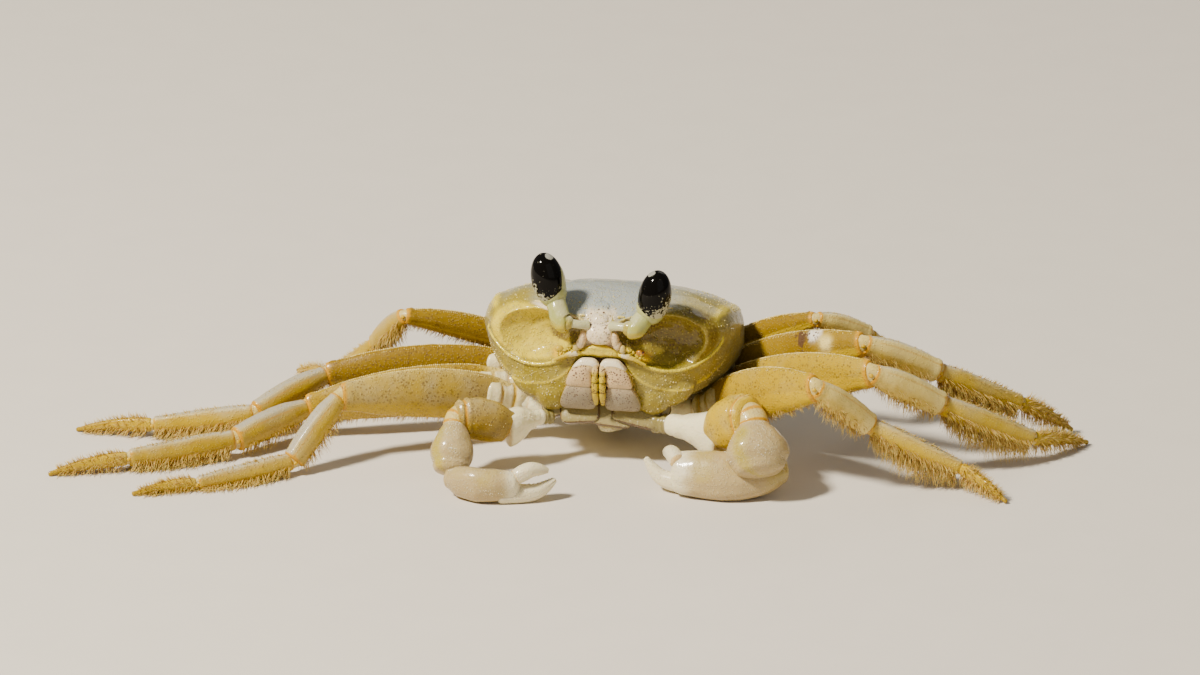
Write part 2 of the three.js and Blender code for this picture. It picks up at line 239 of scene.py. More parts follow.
class Graph:
    """The node graph of one material, with its shader and output ready."""

    def __init__(self, name: str) -> None:
        """Starts a material.

        Args:
            name: the material's name.
        """
        self.material = bpy.data.materials.new(name)
        self.material.use_nodes = True
        self.tree = self.material.node_tree
        self.shader = self.tree.nodes["Principled BSDF"]
        coordinates = self.node("ShaderNodeTexCoord")
        self.place = Signal(self, coordinates.outputs["Object"])

    def node(self, kind: str, settings: dict | None = None, inputs: dict | None = None) -> bpy.types.Node:
        """Adds a node.

        Args:
            kind: the node's type.
            settings: properties set first.
            inputs: values or signals by socket name or number.

        Returns:
            The node.
        """
        made = self.tree.nodes.new(kind)
        for key, value in (settings or {}).items():
            setattr(made, key, value)
        for key, value in (inputs or {}).items():
            self.feed(made.inputs[key], value)
        return made

    def feed(self, socket: bpy.types.NodeSocket, value: "Signal | float | tuple") -> None:
        """Links a signal to a socket, or sets its value."""
        if isinstance(value, Signal):
            self.tree.links.new(value.socket, socket)
        elif isinstance(value, tuple) and socket.type == "RGBA":
            socket.default_value = (*value, 1.0)
        else:
            socket.default_value = value

    def mask(self, name: str) -> Signal:
        """The value of a mesh attribute."""
        node = self.node("ShaderNodeAttribute", {"attribute_name": name})
        return Signal(self, node.outputs["Fac"])

    def lumps(self, size: float, detail: float = 2.0) -> Signal:
        """Smooth noise from 0 to 1 with lumps of a size in millimetres."""
        inputs = {"Vector": self.place, "Scale": 1 / (size * MM), "Detail": detail}
        return Signal(self, self.node("ShaderNodeTexNoise", {}, inputs).outputs[0])

    def dots(self, size: float) -> Signal:
        """Round dots, 1 inside, on cells of a size in millimetres."""
        inputs = {"Vector": self.place, "Scale": 1 / (size * MM)}
        cells = Signal(self, self.node("ShaderNodeTexVoronoi", {}, inputs).outputs["Distance"])
        return 1 - cells.above(DOT_REACH * 0.55, DOT_REACH)

    def set(self, **values: Signal | float | Colour) -> None:
        """Feeds signals or values to the shader's sockets, named with underscores for spaces."""
        for key, value in values.items():
            self.feed(self.shader.inputs[key.replace("_", " ")], value)

    def bump(self, height: Signal, depth: float) -> None:
        """Feeds a height, 1 being a depth in millimetres, to the shader's normal."""
        node = self.node("ShaderNodeBump", {}, {"Height": height, "Distance": depth * MM, "Strength": 1.0})
        self.set(Normal=Signal(self, node.outputs[0]))


@dataclass(frozen=True)
class ShellFinish:
    """A crab shell: cool to warm body colour, ivory edges, orange joints, speckles and fine granules."""

    name: str
    cool: Colour
    warm: Colour
    pale: Colour = (0.80, 0.64, 0.20)
    orange: Colour = (0.78, 0.30, 0.008)
    dark: Colour = (0.10, 0.05, 0.02)
    # a darker tone, which some pieces also use for painted shade
    deep: Colour = (0.30, 0.17, 0.012)
    # pink-cream, which the orbit brows and rims also use partly as a painted highlight
    blush: Colour = (0.80, 0.60, 0.30)
    mottle: float = 0.35
    granule: float = 0.5
    granule_depth: float = 0.10
    granule_glow: float = 0.12
    granule_white: float = 0.12
    speck: float = 0.55
    roughness: float = 0.36
    gloss: float = 0.25
    coat: float = 0.35
    subsurface: float = 0.15

    def build(self) -> bpy.types.Material:
        """Makes the material and returns it."""
        g = Graph(self.name)
        cloud = g.lumps(6.0, 3.0)
        patch = g.lumps(1.3, 2.0)
        fine = g.lumps(0.28, 2.0)
        warm = g.mask("warm") + (cloud - 0.5) * 0.5 + (patch - 0.5) * 0.25
        body = warm.above(0.05, 0.95).tint(self.cool, self.warm)
        deep = g.mask("deep") + patch.above(0.50, 0.78) * self.mottle * g.mask("warm").above(0.2, 0.9)
        body = deep.above(0.0, 1.0).tint(body, self.deep)
        pale = g.mask("pale") + (patch - 0.5) * 0.35
        body = pale.above(0.15, 0.85).tint(body, self.pale)
        body = (g.mask("blush") + (patch - 0.5) * 0.3).above(0.1, 0.9).tint(body, self.blush)
        beads = g.dots(self.granule)
        light = tuple(mix(channel, 1.0, self.granule_white) for channel in self.pale)
        body = (beads * self.granule_glow * (1 - g.mask("dark").above(0.3, 0.9))).tint(body, light)
        orange = (g.mask("orange") + (fine - 0.5) * 0.3).above(0.2, 0.75)
        body = orange.tint(body, self.orange)
        crowd = g.lumps(self.speck * 4, 2.0).above(0.34, 0.56)
        specks = g.mask("dark") * g.dots(self.speck) * crowd * 1.7 + g.mask("dark").above(0.85, 1.0)
        body = specks.tint(body, self.dark)
        g.set(Base_Color=body, Roughness=self.roughness + (patch - 0.5) * 0.18 + fine * 0.06)
        g.set(Subsurface_Weight=self.subsurface, Subsurface_Scale=0.0014, Subsurface_Radius=(1.0, 0.65, 0.2))
        g.set(Specular_IOR_Level=self.gloss, Coat_Weight=self.coat, Coat_Roughness=0.09, IOR=1.5)
        g.bump(beads * 0.7 + fine * 0.35 + patch * 0.5, self.granule_depth)
        return g.material


@dataclass(frozen=True)
class CorneaFinish:
    """A black eye, glossy as wet glass, with pale dusty mottling at its foot."""

    name: str = "cornea_black"
    black: Colour = (0.003, 0.0025, 0.002)
    dust: Colour = (0.44, 0.42, 0.28)
    patch: Colour = (0.30, 0.29, 0.24)

    def build(self) -> bpy.types.Material:
        """Makes the material and returns it."""
        g = Graph(self.name)
        patches = (g.lumps(0.42, 3.0) + g.mask("pale") * 0.32).above(0.68, 0.80)
        body = patches.tint(self.black, self.dust)
        even = (g.mask("warm") + (g.lumps(0.5, 3.0) - 0.5) * 0.5).above(0.42, 0.6)
        body = even.tint(body, self.patch)
        g.set(Base_Color=body, Roughness=0.07 + patches * 0.35 + even * 0.2)
        g.set(Coat_Weight=0.0, IOR=1.33, Specular_IOR_Level=0.22)
        return g.material


@dataclass(frozen=True)
class BristleFinish:
    """Golden horn-like bristles, paler at the tip."""

    name: str = "golden_bristle"
    root: Colour = (0.40, 0.22, 0.014)
    tip: Colour = (0.74, 0.52, 0.12)

    def build(self) -> bpy.types.Material:
        """Makes the material and returns it."""
        g = Graph(self.name)
        tone = g.mask("warm") + (g.lumps(2.5) - 0.5) * 0.5
        g.set(Base_Color=tone.above(0.0, 0.8).tint(self.root, self.tip), Roughness=0.42 + g.lumps(0.8) * 0.1)
        g.set(Subsurface_Weight=0.1, Subsurface_Scale=0.0005, Specular_IOR_Level=0.6)
        return g.material


@dataclass(frozen=True)
class FloorFinish:
    """A plain pale floor."""

    name: str = "pale_floor"
    colour: Colour = (0.70, 0.64, 0.55)
    unevenness: float = 0.03

    def build(self) -> bpy.types.Material:
        """Makes the material and returns it."""
        g = Graph(self.name)
        low, high = (tuple(c * (1 + sign * self.unevenness) for c in self.colour) for sign in (-1, 1))
        g.set(Base_Color=g.lumps(9.0, 4.0).tint(low, high), Roughness=0.85)
        return g.material


# ---- Mesh building ----

Finish = ShellFinish | CorneaFinish | BristleFinish | FloorFinish


def pour(bm: bmesh.types.BMesh, name: str) -> bpy.types.Mesh:
    """Turns a bmesh into a mesh and frees it."""
    mesh = bpy.data.meshes.new(name)
    bm.to_mesh(mesh)
    bm.free()
    return mesh


def put(name: str, data: bpy.types.ID) -> bpy.types.Object:
    """Puts an object that shows the data into the scene."""
    made = bpy.data.objects.new(name, data)
    bpy.context.scene.collection.objects.link(made)
    return made


def discard(made: bpy.types.Object) -> None:
    """Removes an object with its mesh."""
    mesh = made.data
    bpy.data.objects.remove(made)
    bpy.data.meshes.remove(mesh)


@dataclass
class Spot:
    """A spot of a swept skin: its place, its turn round the skin (0.25 is the top) and its share along it."""

    place: Vector
    turn: float
    share: float


Paint = Callable[[Spot], Masks]
Relief = Callable[[Spot], float]


@dataclass
class Section:
    """The oval section of a swept skin, and how it changes from end to end.

    high and wide are half sizes in millimetres, and the rows say which share of them holds at equal steps.
    """

    high: float
    wide: float
    high_row: Sequence[float]
    wide_row: Sequence[float]
    squareness: float = 2.0
    keel: float = 0.0
    dome: float = 0.5
    lean: float = 0.0


@dataclass
class Ring:
    """One ring of a sweep: its middle, its up and outward axes, its half sizes and its share of the way."""

    spot: Vector
    up: Vector
    out: Vector
    high: float
    wide: float
    share: float

    @classmethod
    def at(cls, path: Path, section: Section, row: float) -> "Ring":
        """The ring at a share of the rows, the first and last of which round off the ends."""
        bulge, reach = 1.0, 0.0
        share = clamp((row - CAP) / (1 - 2 * CAP))
        if row < CAP or row > 1 - CAP:
            angle = min(row, 1 - row) / CAP * math.pi / 2
            bulge, reach = math.sin(angle), math.cos(angle) * (-1 if row < CAP else 1)
        axis = (path(min(share + GLANCE, 1.0)) - path(max(share - GLANCE, 0.0))).normalized()
        up = upright(axis)
        if section.lean:
            up.rotate(tilt(section.lean, axis))
        high = section.high * along(section.high_row, share)
        wide = section.wide * along(section.wide_row, share)
        spot = path(share) + axis * (reach * section.dome * min(high, wide))
        return cls(spot, up, axis.cross(up), high * max(bulge, 0.0), wide * max(bulge, 0.0), share)


class Form:
    """A mesh in the making: parts made with bmesh operators are gathered into one."""

    def __init__(self) -> None:
        """Starts an empty form with its masks and map."""
        self.bm = self.blank()

    @staticmethod
    def blank() -> bmesh.types.BMesh:
        """An empty bmesh with the layers every part has."""
        bm = bmesh.new()
        for name in MASKS:
            bm.verts.layers.float.new(name)
        bm.loops.layers.uv.new("OFBake")
        return bm

    def absorb(self, part: bmesh.types.BMesh) -> None:
        """Adds a part to the form and frees it."""
        bmesh.ops.recalc_face_normals(part, faces=part.faces[:])
        mesh = pour(part, "part")
        self.bm.from_mesh(mesh)
        bpy.data.meshes.remove(mesh)

    @staticmethod
    def brush(vert: bmesh.types.BMVert, layers: dict, values: Masks) -> None:
        """Writes mask values, kept between 0 and 1, to a vertex."""
        for name, value in values.items():
            vert[layers[name]] = clamp(value)

    @staticmethod
    def mask_layers(bm: bmesh.types.BMesh) -> dict:
        """The mask layers of a bmesh by name."""
        return {name: bm.verts.layers.float[name] for name in MASKS}

    def sweep(
        self,
        path: Path,
        section: Section,
        detail: Detail,
        paint: Paint,
        relief: Relief | None = None,
    ) -> None:
        """Adds a closed skin swept along a path, with rounded ends.

        Args:
            path: the place at a share of the way along.
            section: the section's sizes.
            detail: segments around and along.
            paint: mask values of a spot.
            relief: millimetres to move a spot outwards.
        """
        sides, rings = detail.value
        bm = self.blank()
        bmesh.ops.create_grid(bm, x_segments=sides, y_segments=rings, size=1)
        layers = self.mask_layers(bm)
        power = 2.0 / section.squareness
        made: dict[float, Ring] = {}
        for vert in bm.verts:
            around = (vert.co.x + 1) / 2
            row = round((vert.co.y + 1) / 2, 5)
            if row not in made:
                made[row] = Ring.at(path, section, row)
            ring = made[row]
            cos, sin = math.cos(around * 2 * math.pi), math.sin(around * 2 * math.pi)
            flat = math.copysign(abs(cos) ** power, cos)
            tall = math.copysign(abs(sin) ** power, sin)
            narrow = 1 - section.keel * max(0.0, sin) ** 2
            outward = ring.out * (flat * ring.wide * narrow) + ring.up * (tall * ring.high)
            spot = Spot(ring.spot + outward, around % 1.0, ring.share)
            if relief and outward.length > 1e-6:
                spot.place += outward.normalized() * relief(spot)
            spot.place.z = max(spot.place.z, LOWEST_SKIN)
            self.brush(vert, layers, paint(spot))
            vert.co = spot.place
        bmesh.ops.remove_doubles(bm, verts=bm.verts[:], dist=1e-4)
        self.absorb(bm)

    def pillow(
        self,
        cuts: int,
        shape: Shape,
        paint: Callable[[Vector], Masks],
        squareness: float = 2.0,
    ) -> None:
        """Adds a closed rounded box made from a cut cube.

        Args:
            cuts: cuts across each edge of the cube.
            shape: the final place of a point of the rounded unit box.
            paint: mask values of a final place.
            squareness: 2 for a ball, more for a boxier shape.
        """
        bm = self.blank()
        layers = self.mask_layers(bm)
        rounded_box(bm, cuts, squareness)
        for vert in bm.verts:
            place = shape(vert.co.copy())
            self.brush(vert, layers, paint(place))
            vert.co = place
        self.absorb(bm)

    def ball(
        self, centre: Vector, size: Triple, values: Masks, turn: Matrix | None = None, cuts: int = 6
    ) -> None:
        """Adds a scaled ball with even mask values."""
        self.pillow(cuts, egg(centre, size, turn), lambda _place: values)

    def beads(self, places: Beads, values: Masks) -> None:
        """Adds small round granules with even mask values, each at a place and with a radius."""
        bm = self.blank()
        layers = self.mask_layers(bm)
        bmesh.ops.create_icosphere(bm, subdivisions=1, radius=1)
        for vert in bm.verts:
            self.brush(vert, layers, values)
        mesh = pour(bm, "bead")
        for centre, radius in places:
            move = Matrix.Translation(centre) @ Matrix.Scale(radius, 4)
            mesh.transform(move)
            self.bm.from_mesh(mesh)
            mesh.transform(move.inverted())
        bpy.data.meshes.remove(mesh)


def rounded_box(bm: bmesh.types.BMesh, cuts: int, squareness: float) -> None:
    """Adds a unit box rounded to a superellipsoid.

    Args:
        bm: the bmesh to add to, which holds nothing else.
        cuts: cuts across each edge.
        squareness: exponent of the rounding.
    """
    bmesh.ops.create_cube(bm, size=2)
    bmesh.ops.subdivide_edges(bm, edges=bm.edges[:], cuts=cuts, use_grid_fill=True)
    for vert in bm.verts:
        size = sum(abs(value) ** squareness for value in vert.co)
        vert.co /= size ** (1 / squareness)


@dataclass
class Workshop:
    """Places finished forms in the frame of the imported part."""

    shift: Vector
    materials: dict[str, bpy.types.Material] = field(default_factory=dict)

    def material(self, finish: Finish) -> bpy.types.Material:
        """The material of a finish, made once."""
        if finish.name not in self.materials:
            self.materials[finish.name] = finish.build()
        return self.materials[finish.name]

    def placed(self, spot: Vector) -> Vector:
        """A place of the crab's own frame in metres of the part's frame."""
        return (spot + self.shift) * MM

    def finish(
        self,
        form: Form,
        name: str,
        finish: Finish,
        slot: str,
        nodes: Sequence[str] = (),
        keep_map: bool = False,
    ) -> None:
        """Turns a form into a piece of the part.

        Args:
            form: the form, which is used up.
            name: the piece's name.
            finish: its finish.
            slot: not used.
            nodes: the CAD nodes that it stands for.
            keep_map: whether its map stays.
        """
        place = Matrix.Scale(MM, 4) @ Matrix.Translation(self.shift)
        bmesh.ops.transform(form.bm, matrix=place, verts=form.bm.verts[:])
        mesh = pour(form.bm, name)
        if not keep_map:
            mesh.uv_layers.remove(mesh.uv_layers["OFBake"])
        mesh.polygons.foreach_set("use_smooth", [True] * len(mesh.polygons))
        mesh.materials.append(self.material(finish))
        piece = put(name, mesh)
        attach(piece, "root")
        if nodes:
            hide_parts(*nodes)
        LOG.info("%s: %d faces", name, len(mesh.polygons))

    def skin(self, form: Form, node: str, finish: Finish, slot: str) -> None:
        """Turns a form into the skin that stands for one CAD node."""
        self.finish(form, f"{node}_skin", finish, slot, [node])


# ---- Finishes ----

BACK_SHELL = ShellFinish(
    "back_shell",
    cool=(0.33, 0.355, 0.33),
    warm=(0.31, 0.235, 0.014),
    pale=(0.80, 0.62, 0.035),
    orange=(0.66, 0.40, 0.004),
    deep=(0.17, 0.115, 0.006),
    blush=(0.88, 0.70, 0.46),
    granule_glow=0.22,
    granule_depth=0.12,
    gloss=0.18,
    roughness=0.40,
    coat=0.5,
)
MOUTH_SHELL = ShellFinish(
    "mouth_shell",
    # grey-beige, darkened partly as painted shade for the lower mouth plates
    cool=(0.30, 0.25, 0.165),
    warm=(0.54, 0.39, 0.012),
    pale=(0.82, 0.71, 0.48),
    orange=(0.46, 0.20, 0.006),
    dark=(0.09, 0.035, 0.03),
    deep=(0.30, 0.18, 0.04),
    blush=(0.70, 0.49, 0.25),
    mottle=0.15,
    speck=0.36,
    granule=0.4,
    granule_glow=0.08,
    granule_depth=0.05,
)
UNDER_SHELL = ShellFinish(
    "under_shell",
    cool=(0.54, 0.44, 0.24),
    warm=(0.60, 0.42, 0.035),
    pale=(0.90, 0.81, 0.50),
    orange=(0.55, 0.28, 0.01),
    deep=(0.25, 0.20, 0.055),
    mottle=0.1,
    granule_glow=0.06,
    granule_depth=0.05,
    roughness=0.26,
    coat=0.5,
)
LEG_SHELL = ShellFinish(
    "leg_shell",
    cool=(0.46, 0.43, 0.33),
    warm=(0.58, 0.385, 0.001),
    pale=(0.84, 0.66, 0.21),
    orange=(0.58, 0.28, 0.003),
    deep=(0.24, 0.14, 0.001),
    blush=(0.80, 0.73, 0.60),
    mottle=0.12,
    granule=0.4,
    granule_glow=0.07,
    granule_depth=0.08,
    roughness=0.34,
    coat=0.2,
    subsurface=0.08,
)
CLAW_SHELL = ShellFinish(
    "claw_shell",
    cool=(0.46, 0.34, 0.15),
    warm=(0.44, 0.34, 0.04),
    pale=(0.76, 0.67, 0.43),
    orange=(0.60, 0.30, 0.006),
    dark=(0.18, 0.08, 0.02),
    deep=(0.38, 0.28, 0.06),
    granule=0.4,
    granule_glow=0.14,
    granule_depth=0.08,
    roughness=0.3,
    coat=0.4,
)
STALK_SHELL = ShellFinish(
    "stalk_shell",
    cool=(0.37, 0.38, 0.11),
    warm=(0.50, 0.39, 0.015),
    pale=(0.52, 0.49, 0.25),
    orange=(0.50, 0.26, 0.01),
    dark=(0.12, 0.05, 0.01),
    deep=(0.36, 0.30, 0.04),
    mottle=0.1,
    granule_glow=0.04,
    granule_depth=0.03,
    roughness=0.22,
    coat=0.6,
)
CORNEA = CorneaFinish()
BRISTLE = BristleFinish()


# ---- Bristles ----


@dataclass
class BristleCoat:
    """Bristles joined into one mesh, each a bent three-sided spike with its own patch on the map."""

    seed: int
    patch: float = 0.003
    foot: float = 0.45
    step: float = 0.39
    form: Form = field(default_factory=Form)

    def __post_init__(self) -> None:
        """Makes the spike that every bristle copies."""
        self.random = random.Random(self.seed)
        bm = Form.blank()
        bmesh.ops.create_cone(bm, cap_ends=False, segments=3, radius1=1, radius2=0.75, depth=self.foot)
        top = [e for e in bm.edges if all(v.co.z > 0 for v in e.verts)]
        for _step in range(2):
            grown = bmesh.ops.extrude_edge_only(bm, edges=top)["geom"]
            top = [g for g in grown if isinstance(g, bmesh.types.BMEdge)]
            verts = [g for g in grown if isinstance(g, bmesh.types.BMVert)]
            bmesh.ops.translate(bm, verts=verts, vec=(0, 0, self.step))
            bmesh.ops.scale(bm, verts=verts, vec=(0.55, 0.55, 1))
        tip = [v for v in bm.verts if v.co.z > 0.9]
        bmesh.ops.pointmerge(bm, verts=tip, merge_co=UP)
        layers = Form.mask_layers(bm)
        for vert in bm.verts:
            vert.co.z = clamp((vert.co.z + self.foot / 2) / (1 + self.foot / 2))
            vert[layers["warm"]] = vert.co.z
        bmesh.ops.recalc_face_normals(bm, faces=bm.faces[:])
        uv = bm.loops.layers.uv["OFBake"]
        for face in bm.faces:
            for loop in face.loops:
                loop[uv].uv = (loop.vert.co.x * self.patch / 2, (loop.vert.co.z - 0.5) * self.patch)
        self.spike = pour(bm, "spike")
        self.map = [tuple(item.uv) for item in self.spike.uv_layers["OFBake"].data]
        self.rest = [v.co.copy() for v in self.spike.vertices]

    def plant(self, root: Vector, way: Vector, length: float, spot: Pair, thickness: float) -> None:
        """Adds one bristle.

        Args:
            root: its root.
            way: its direction.
            length: its length in millimetres.
            spot: its root's place on the map.
            thickness: half its thickness at the root.
        """
        way = way.normalized()
        if root.z + way.z * length < LOWEST_TIP:
            way.z = (LOWEST_TIP - root.z) / length
            way.normalize()
        side = way.orthogonal()
        side.rotate(Matrix.Rotation(self.random.uniform(0, 2 * math.pi), 3, way))
        across = way.cross(side)
        bend = self.random.uniform(0.05, 0.22) * length
        for vert, rest in zip(self.spike.vertices, self.rest):
            offset = side * (rest.x * thickness + bend * rest.z**2) + across * rest.y * thickness
            place = root + way * (rest.z * length) + offset
            place.z = max(place.z, LOWEST_BRISTLE)
            vert.co = place
        for item, (u, v) in zip(self.spike.uv_layers["OFBake"].data, self.map):
            item.uv = (spot[0] + u, spot[1] + v)
        self.form.bm.from_mesh(self.spike)

    def close(self) -> Form:
        """Ends the planting and returns the coat."""
        bpy.data.meshes.remove(self.spike)
        return self.form


# ---- Limbs ----


@dataclass(frozen=True)
class Segment:
    """The outline of a leg segment: shares of its half sizes at equal steps, and how its top narrows."""

    name: str
    high_row: Sequence[float]
    wide_row: Sequence[float]
    keel: float = 0.0


SEGMENTS = (
    Segment("merus", (0.52, 0.88, 1.0, 0.98, 0.82, 0.56), (0.8, 0.95, 1.0, 1.0, 0.95, 0.78), 0.3),
    Segment("carpus", (0.74, 1.0, 1.08, 1.04, 0.92), (0.76, 1.0, 1.0, 1.0, 0.9), 0.1),
    Segment("propodus", (0.70, 0.86, 0.9, 0.86, 0.76, 0.6), (0.85, 1.0, 1.0, 0.95, 0.85, 0.7)),
    Segment("dactyl", (0.85, 0.92, 0.8, 0.64, 0.44, 0.2), (0.85, 0.95, 0.85, 0.68, 0.5, 0.26)),
)


@dataclass
class Neck:
    """The soft banded skin that joins two segments round a bend."""

    start: Vector
    joint: Vector
    end: Vector
    high: Pair
    wide: Pair
    bands: tuple[Pair, ...] = ((0.12, 0.07), (0.86, 0.07))

    def add(self, form: Form) -> None:
        """Adds the joint skin to a form."""
        rows = ([a, (a + b) / 2, b] for a, b in (self.high, self.wide))

        def path(share: float) -> Vector:
            first = self.start.lerp(self.joint, share)
            return first.lerp(self.joint.lerp(self.end, share), share)

        def paint(at: Spot) -> Masks:
            band = sum(hump(at.share, centre, width) for centre, width in self.bands)
            return {"pale": 0.42, "warm": 0.6, "orange": 0.9 * band}

        def relief(at: Spot) -> float:
            bands = sum(0.10 * hump(at.share, centre, width) for centre, width in self.bands)
            return bands - 0.12 * hump(at.share, 0.5, 0.2)

        form.sweep(path, Section(1.0, 1.0, *rows, 2.1, 0.0, 0.2), Detail.MEDIUM, paint, relief)


@dataclass
class WalkingLeg:
    """One walking leg: four shell segments, their joints and their bristles."""

    side: Side
    number: int
    hip: Triple
    lengths: Quad
    halves: tuple[Pair, ...]
    heading: Quad
    rise: Triple
    gold: float
    # how dark the leg is painted, partly as painted shade
    shade: float
    scarred: bool
    tip_height: float = 0.35
    merus_bow: float = 0.9
    propodus_sag: float = 0.3

    @property
    def label(self) -> str:
        """The leg's name in node names."""
        return f"leg_{self.side.label}_{self.number}"

    def __post_init__(self) -> None:
        """Works out the places of the joints from hip to tip, and the directions between them."""
        x, y, z = self.hip
        self.spots = [Vector((self.side.value * x, y, z))]
        self.ways: list[Vector] = []
        for index, length in enumerate(self.lengths):
            if index < 3:
                rise = self.rise[index]
            else:
                fall = max((self.tip_height - self.spots[-1].z) / length, -0.98)
                rise = math.degrees(math.asin(fall))
            self.ways.append(heading_vector(self.side, self.heading[index], rise))
            self.spots.append(self.spots[-1] + self.ways[-1] * length)

    def _path(self, index: int) -> Path:
        """The bowed path of one segment between its joints."""
        way = self.ways[index]
        first = self.spots[index] + way * (0.0 if index == 0 else 0.3)
        last = self.spots[index + 1] - way * (0.0 if index == 3 else 0.35)
        bow = (self.merus_bow, 0.15, -self.propodus_sag, 0.35)[index]
        return lambda share: first.lerp(last, share) + UP * (4 * bow * share * (1 - share))

    def _section(self, index: int) -> Section:
        """The section of one segment."""
        segment = SEGMENTS[index]
        return Section(*self.halves[index], segment.high_row, segment.wide_row, 2.2, segment.keel, 0.25)

    def build(self, shop: Workshop) -> None:
        """Builds the leg's shell pieces and bristles."""
        for index, segment in enumerate(SEGMENTS):
            form = Form()
            detail = Detail.FINE if index == 0 else Detail.MEDIUM
            dress = partial(self._paint, index), partial(self._relief, index)
            form.sweep(self._path(index), self._section(index), detail, *dress)
            if index < 2:
                form.beads(self._edge_beads(index), {"pale": 0.75, "warm": 0.6})
            if index < 3:
                self._joint(form, index)
            shop.skin(form, f"{self.label}_{segment.name}", LEG_SHELL, "leg_shell")
        self._bristles(shop)

    def add_base(self, form: Form) -> None:
        """Adds the short pale segments at the leg's root to a form."""
        path = self._path(0)
        high, wide = self.halves[0]
        rows = (0.85, 1.02, 0.92, 1.08, 1.1), (1.0, 1.1, 0.98, 1.08, 1.0)
        # painted light: the bases of the crab's left legs are painted in shadow, those of its right legs
        # paler as if sunlit
        lit, shade = (0.35, 0.75) if self.side is Side.LEFT else (0.62, 0.0)

        def paint(at: Spot) -> Masks:
            seam = hump(at.share, 0.36, 0.04) + hump(at.share, 0.70, 0.04)
            warm = 0.8 + grain(at.place, 1.5)
            return {"pale": lit - 0.5 * seam, "warm": warm, "deep": shade, "orange": 0.5 * seam}

        def relief(at: Spot) -> float:
            fold = 0.20 * hump(at.turn, 0.20, 0.05) + 0.16 * hump(at.turn, 0.42, 0.05)
            first, second = 0.30 * hump(at.share, 0.36, 0.04), 0.24 * hump(at.share, 0.70, 0.03)
            return fold - first - second + 0.22 * grain(at.place, 1.3)

        section = Section(high * 0.64, wide * 1.08, *rows, 2.3)
        form.sweep(lambda share: path(0.21 * share - 0.02), section, Detail.MEDIUM, paint, relief)

    def _paint(self, index: int, at: Spot) -> Masks:
        """Mask values of a leg segment."""
        turn, share = at.turn, at.share
        top, upper = hump(turn, 0.25, 0.10), hump(turn, 0.25, 0.2)
        start = hump(share, 0.0, 0.03) if index else 0.0
        end = hump(share, 1.0, 0.02)
        cloud = grain(at.place, 4.0) * 0.2
        # painted light: the crab's left legs are painted as sunlit, its right legs as shaded
        lit = 1.0 if self.side is Side.LEFT else 0.35
        stripes = (hump(turn, 0.10, 0.025) + hump(turn, 0.40, 0.025)) * ease(share, 0.05, 0.15)
        if index == 0:
            # painted shadow: on the sunlit legs the pale root is held back and the merus painted dark next to
            # the shell; painted light: their meri stay bright gold on the lower side, as sunlight through the
            # shell
            root = 1 - ease(share, 0.08, 0.2)
            shadow = 1 - ease(share, 0.2, 0.36)
            lower = ease(abs(turn - 0.25) % 1.0, 0.26, 0.34)
            light = mix(0.34, 0.12, self.gold) * (0.6 * top + 0.4 * (1 - lower))
            values = {
                "warm": mix(0.52, 1.0, self.gold) + 0.35 * lower + cloud,
                "pale": 0.9 * root * (1 - 0.7 * lit) + light,
                "orange": 0.7 * end + 0.3 * hump(turn, 0.25, 0.035) * ease(share, 0.3, 0.8),
                "deep": self.shade * (1 - lower * lit) * ease(share, 0.1, 0.3) + 0.85 * lit * shadow,
                "dark": 0.34 * (1 - 0.5 * lower),
            }
            return self._scar(values, at) if self.scarred else values
        if index == 1:
            # painted light: paler on the sunlit legs, darker on the shaded ones
            return {
                "warm": 0.95 - 0.5 * upper - 0.45 * top + cloud,
                "pale": lit * (0.45 * upper - 0.55 * top + 0.46 + 0.3 * hump(share, 0.93, 0.08)),
                "orange": 0.8 * start + 0.8 * end + 0.5 * stripes,
                "deep": 0.45 * (1 - lit) + 0.25 * self.gold * self.shade * (1 - upper),
            }
        if index == 2:
            # painted light: paler on the sunlit legs, darker on the shaded ones
            return {
                "warm": 0.95 - 0.35 * upper - 0.35 * top + cloud,
                "pale": lit * (0.4 * upper - 0.3 * top + 0.12),
                "orange": 0.6 * start + 0.4 * end + 0.4 * stripes,
                "deep": 0.40 * (1 - lit) + 0.12 + cloud - 0.2 * top,
            }
        return {"warm": 0.9 + cloud, "deep": 0.25 + 0.4 * share, "dark": 0.9 * ease(share, 0.93, 1.0)}

    def _scar(self, values: Masks, at: Spot) -> Masks:
        """Adds an old scar to the upper front of a merus: a brown burn, a white patch and a clear one."""
        values = {name: clamp(value) for name, value in values.items()}
        ragged = 0.012 * grain(at.place, 0.7)
        front = 0.13 if self.side is Side.LEFT else 0.37
        aside = (at.turn - front + 0.5) % 1.0 - 0.5 + ragged
        way = at.share + ragged
        brown = hump(way, 0.650, 0.036) * hump(aside, 0.01, 0.11)
        white = hump(way, 0.730, 0.036) * hump(aside, 0.05, 0.09)
        clear = hump(way, 0.800, 0.040) * hump(aside, -0.06, 0.08)
        speck = hump(way, 0.885, 0.013) * hump(aside, -0.09, 0.04)
        burnt = hump(way, 0.630, 0.055) * hump(aside, 0.0, 0.11)
        return values | {
            "deep": values["deep"] * (1 - clear) + 1.4 * burnt,
            "dark": 1.9 * brown + 1.6 * speck + 0.75 * white,
            "blush": 1.6 * white,
            "pale": values["pale"] + 0.8 * clear,
            "warm": values["warm"] - 0.5 * clear,
        }

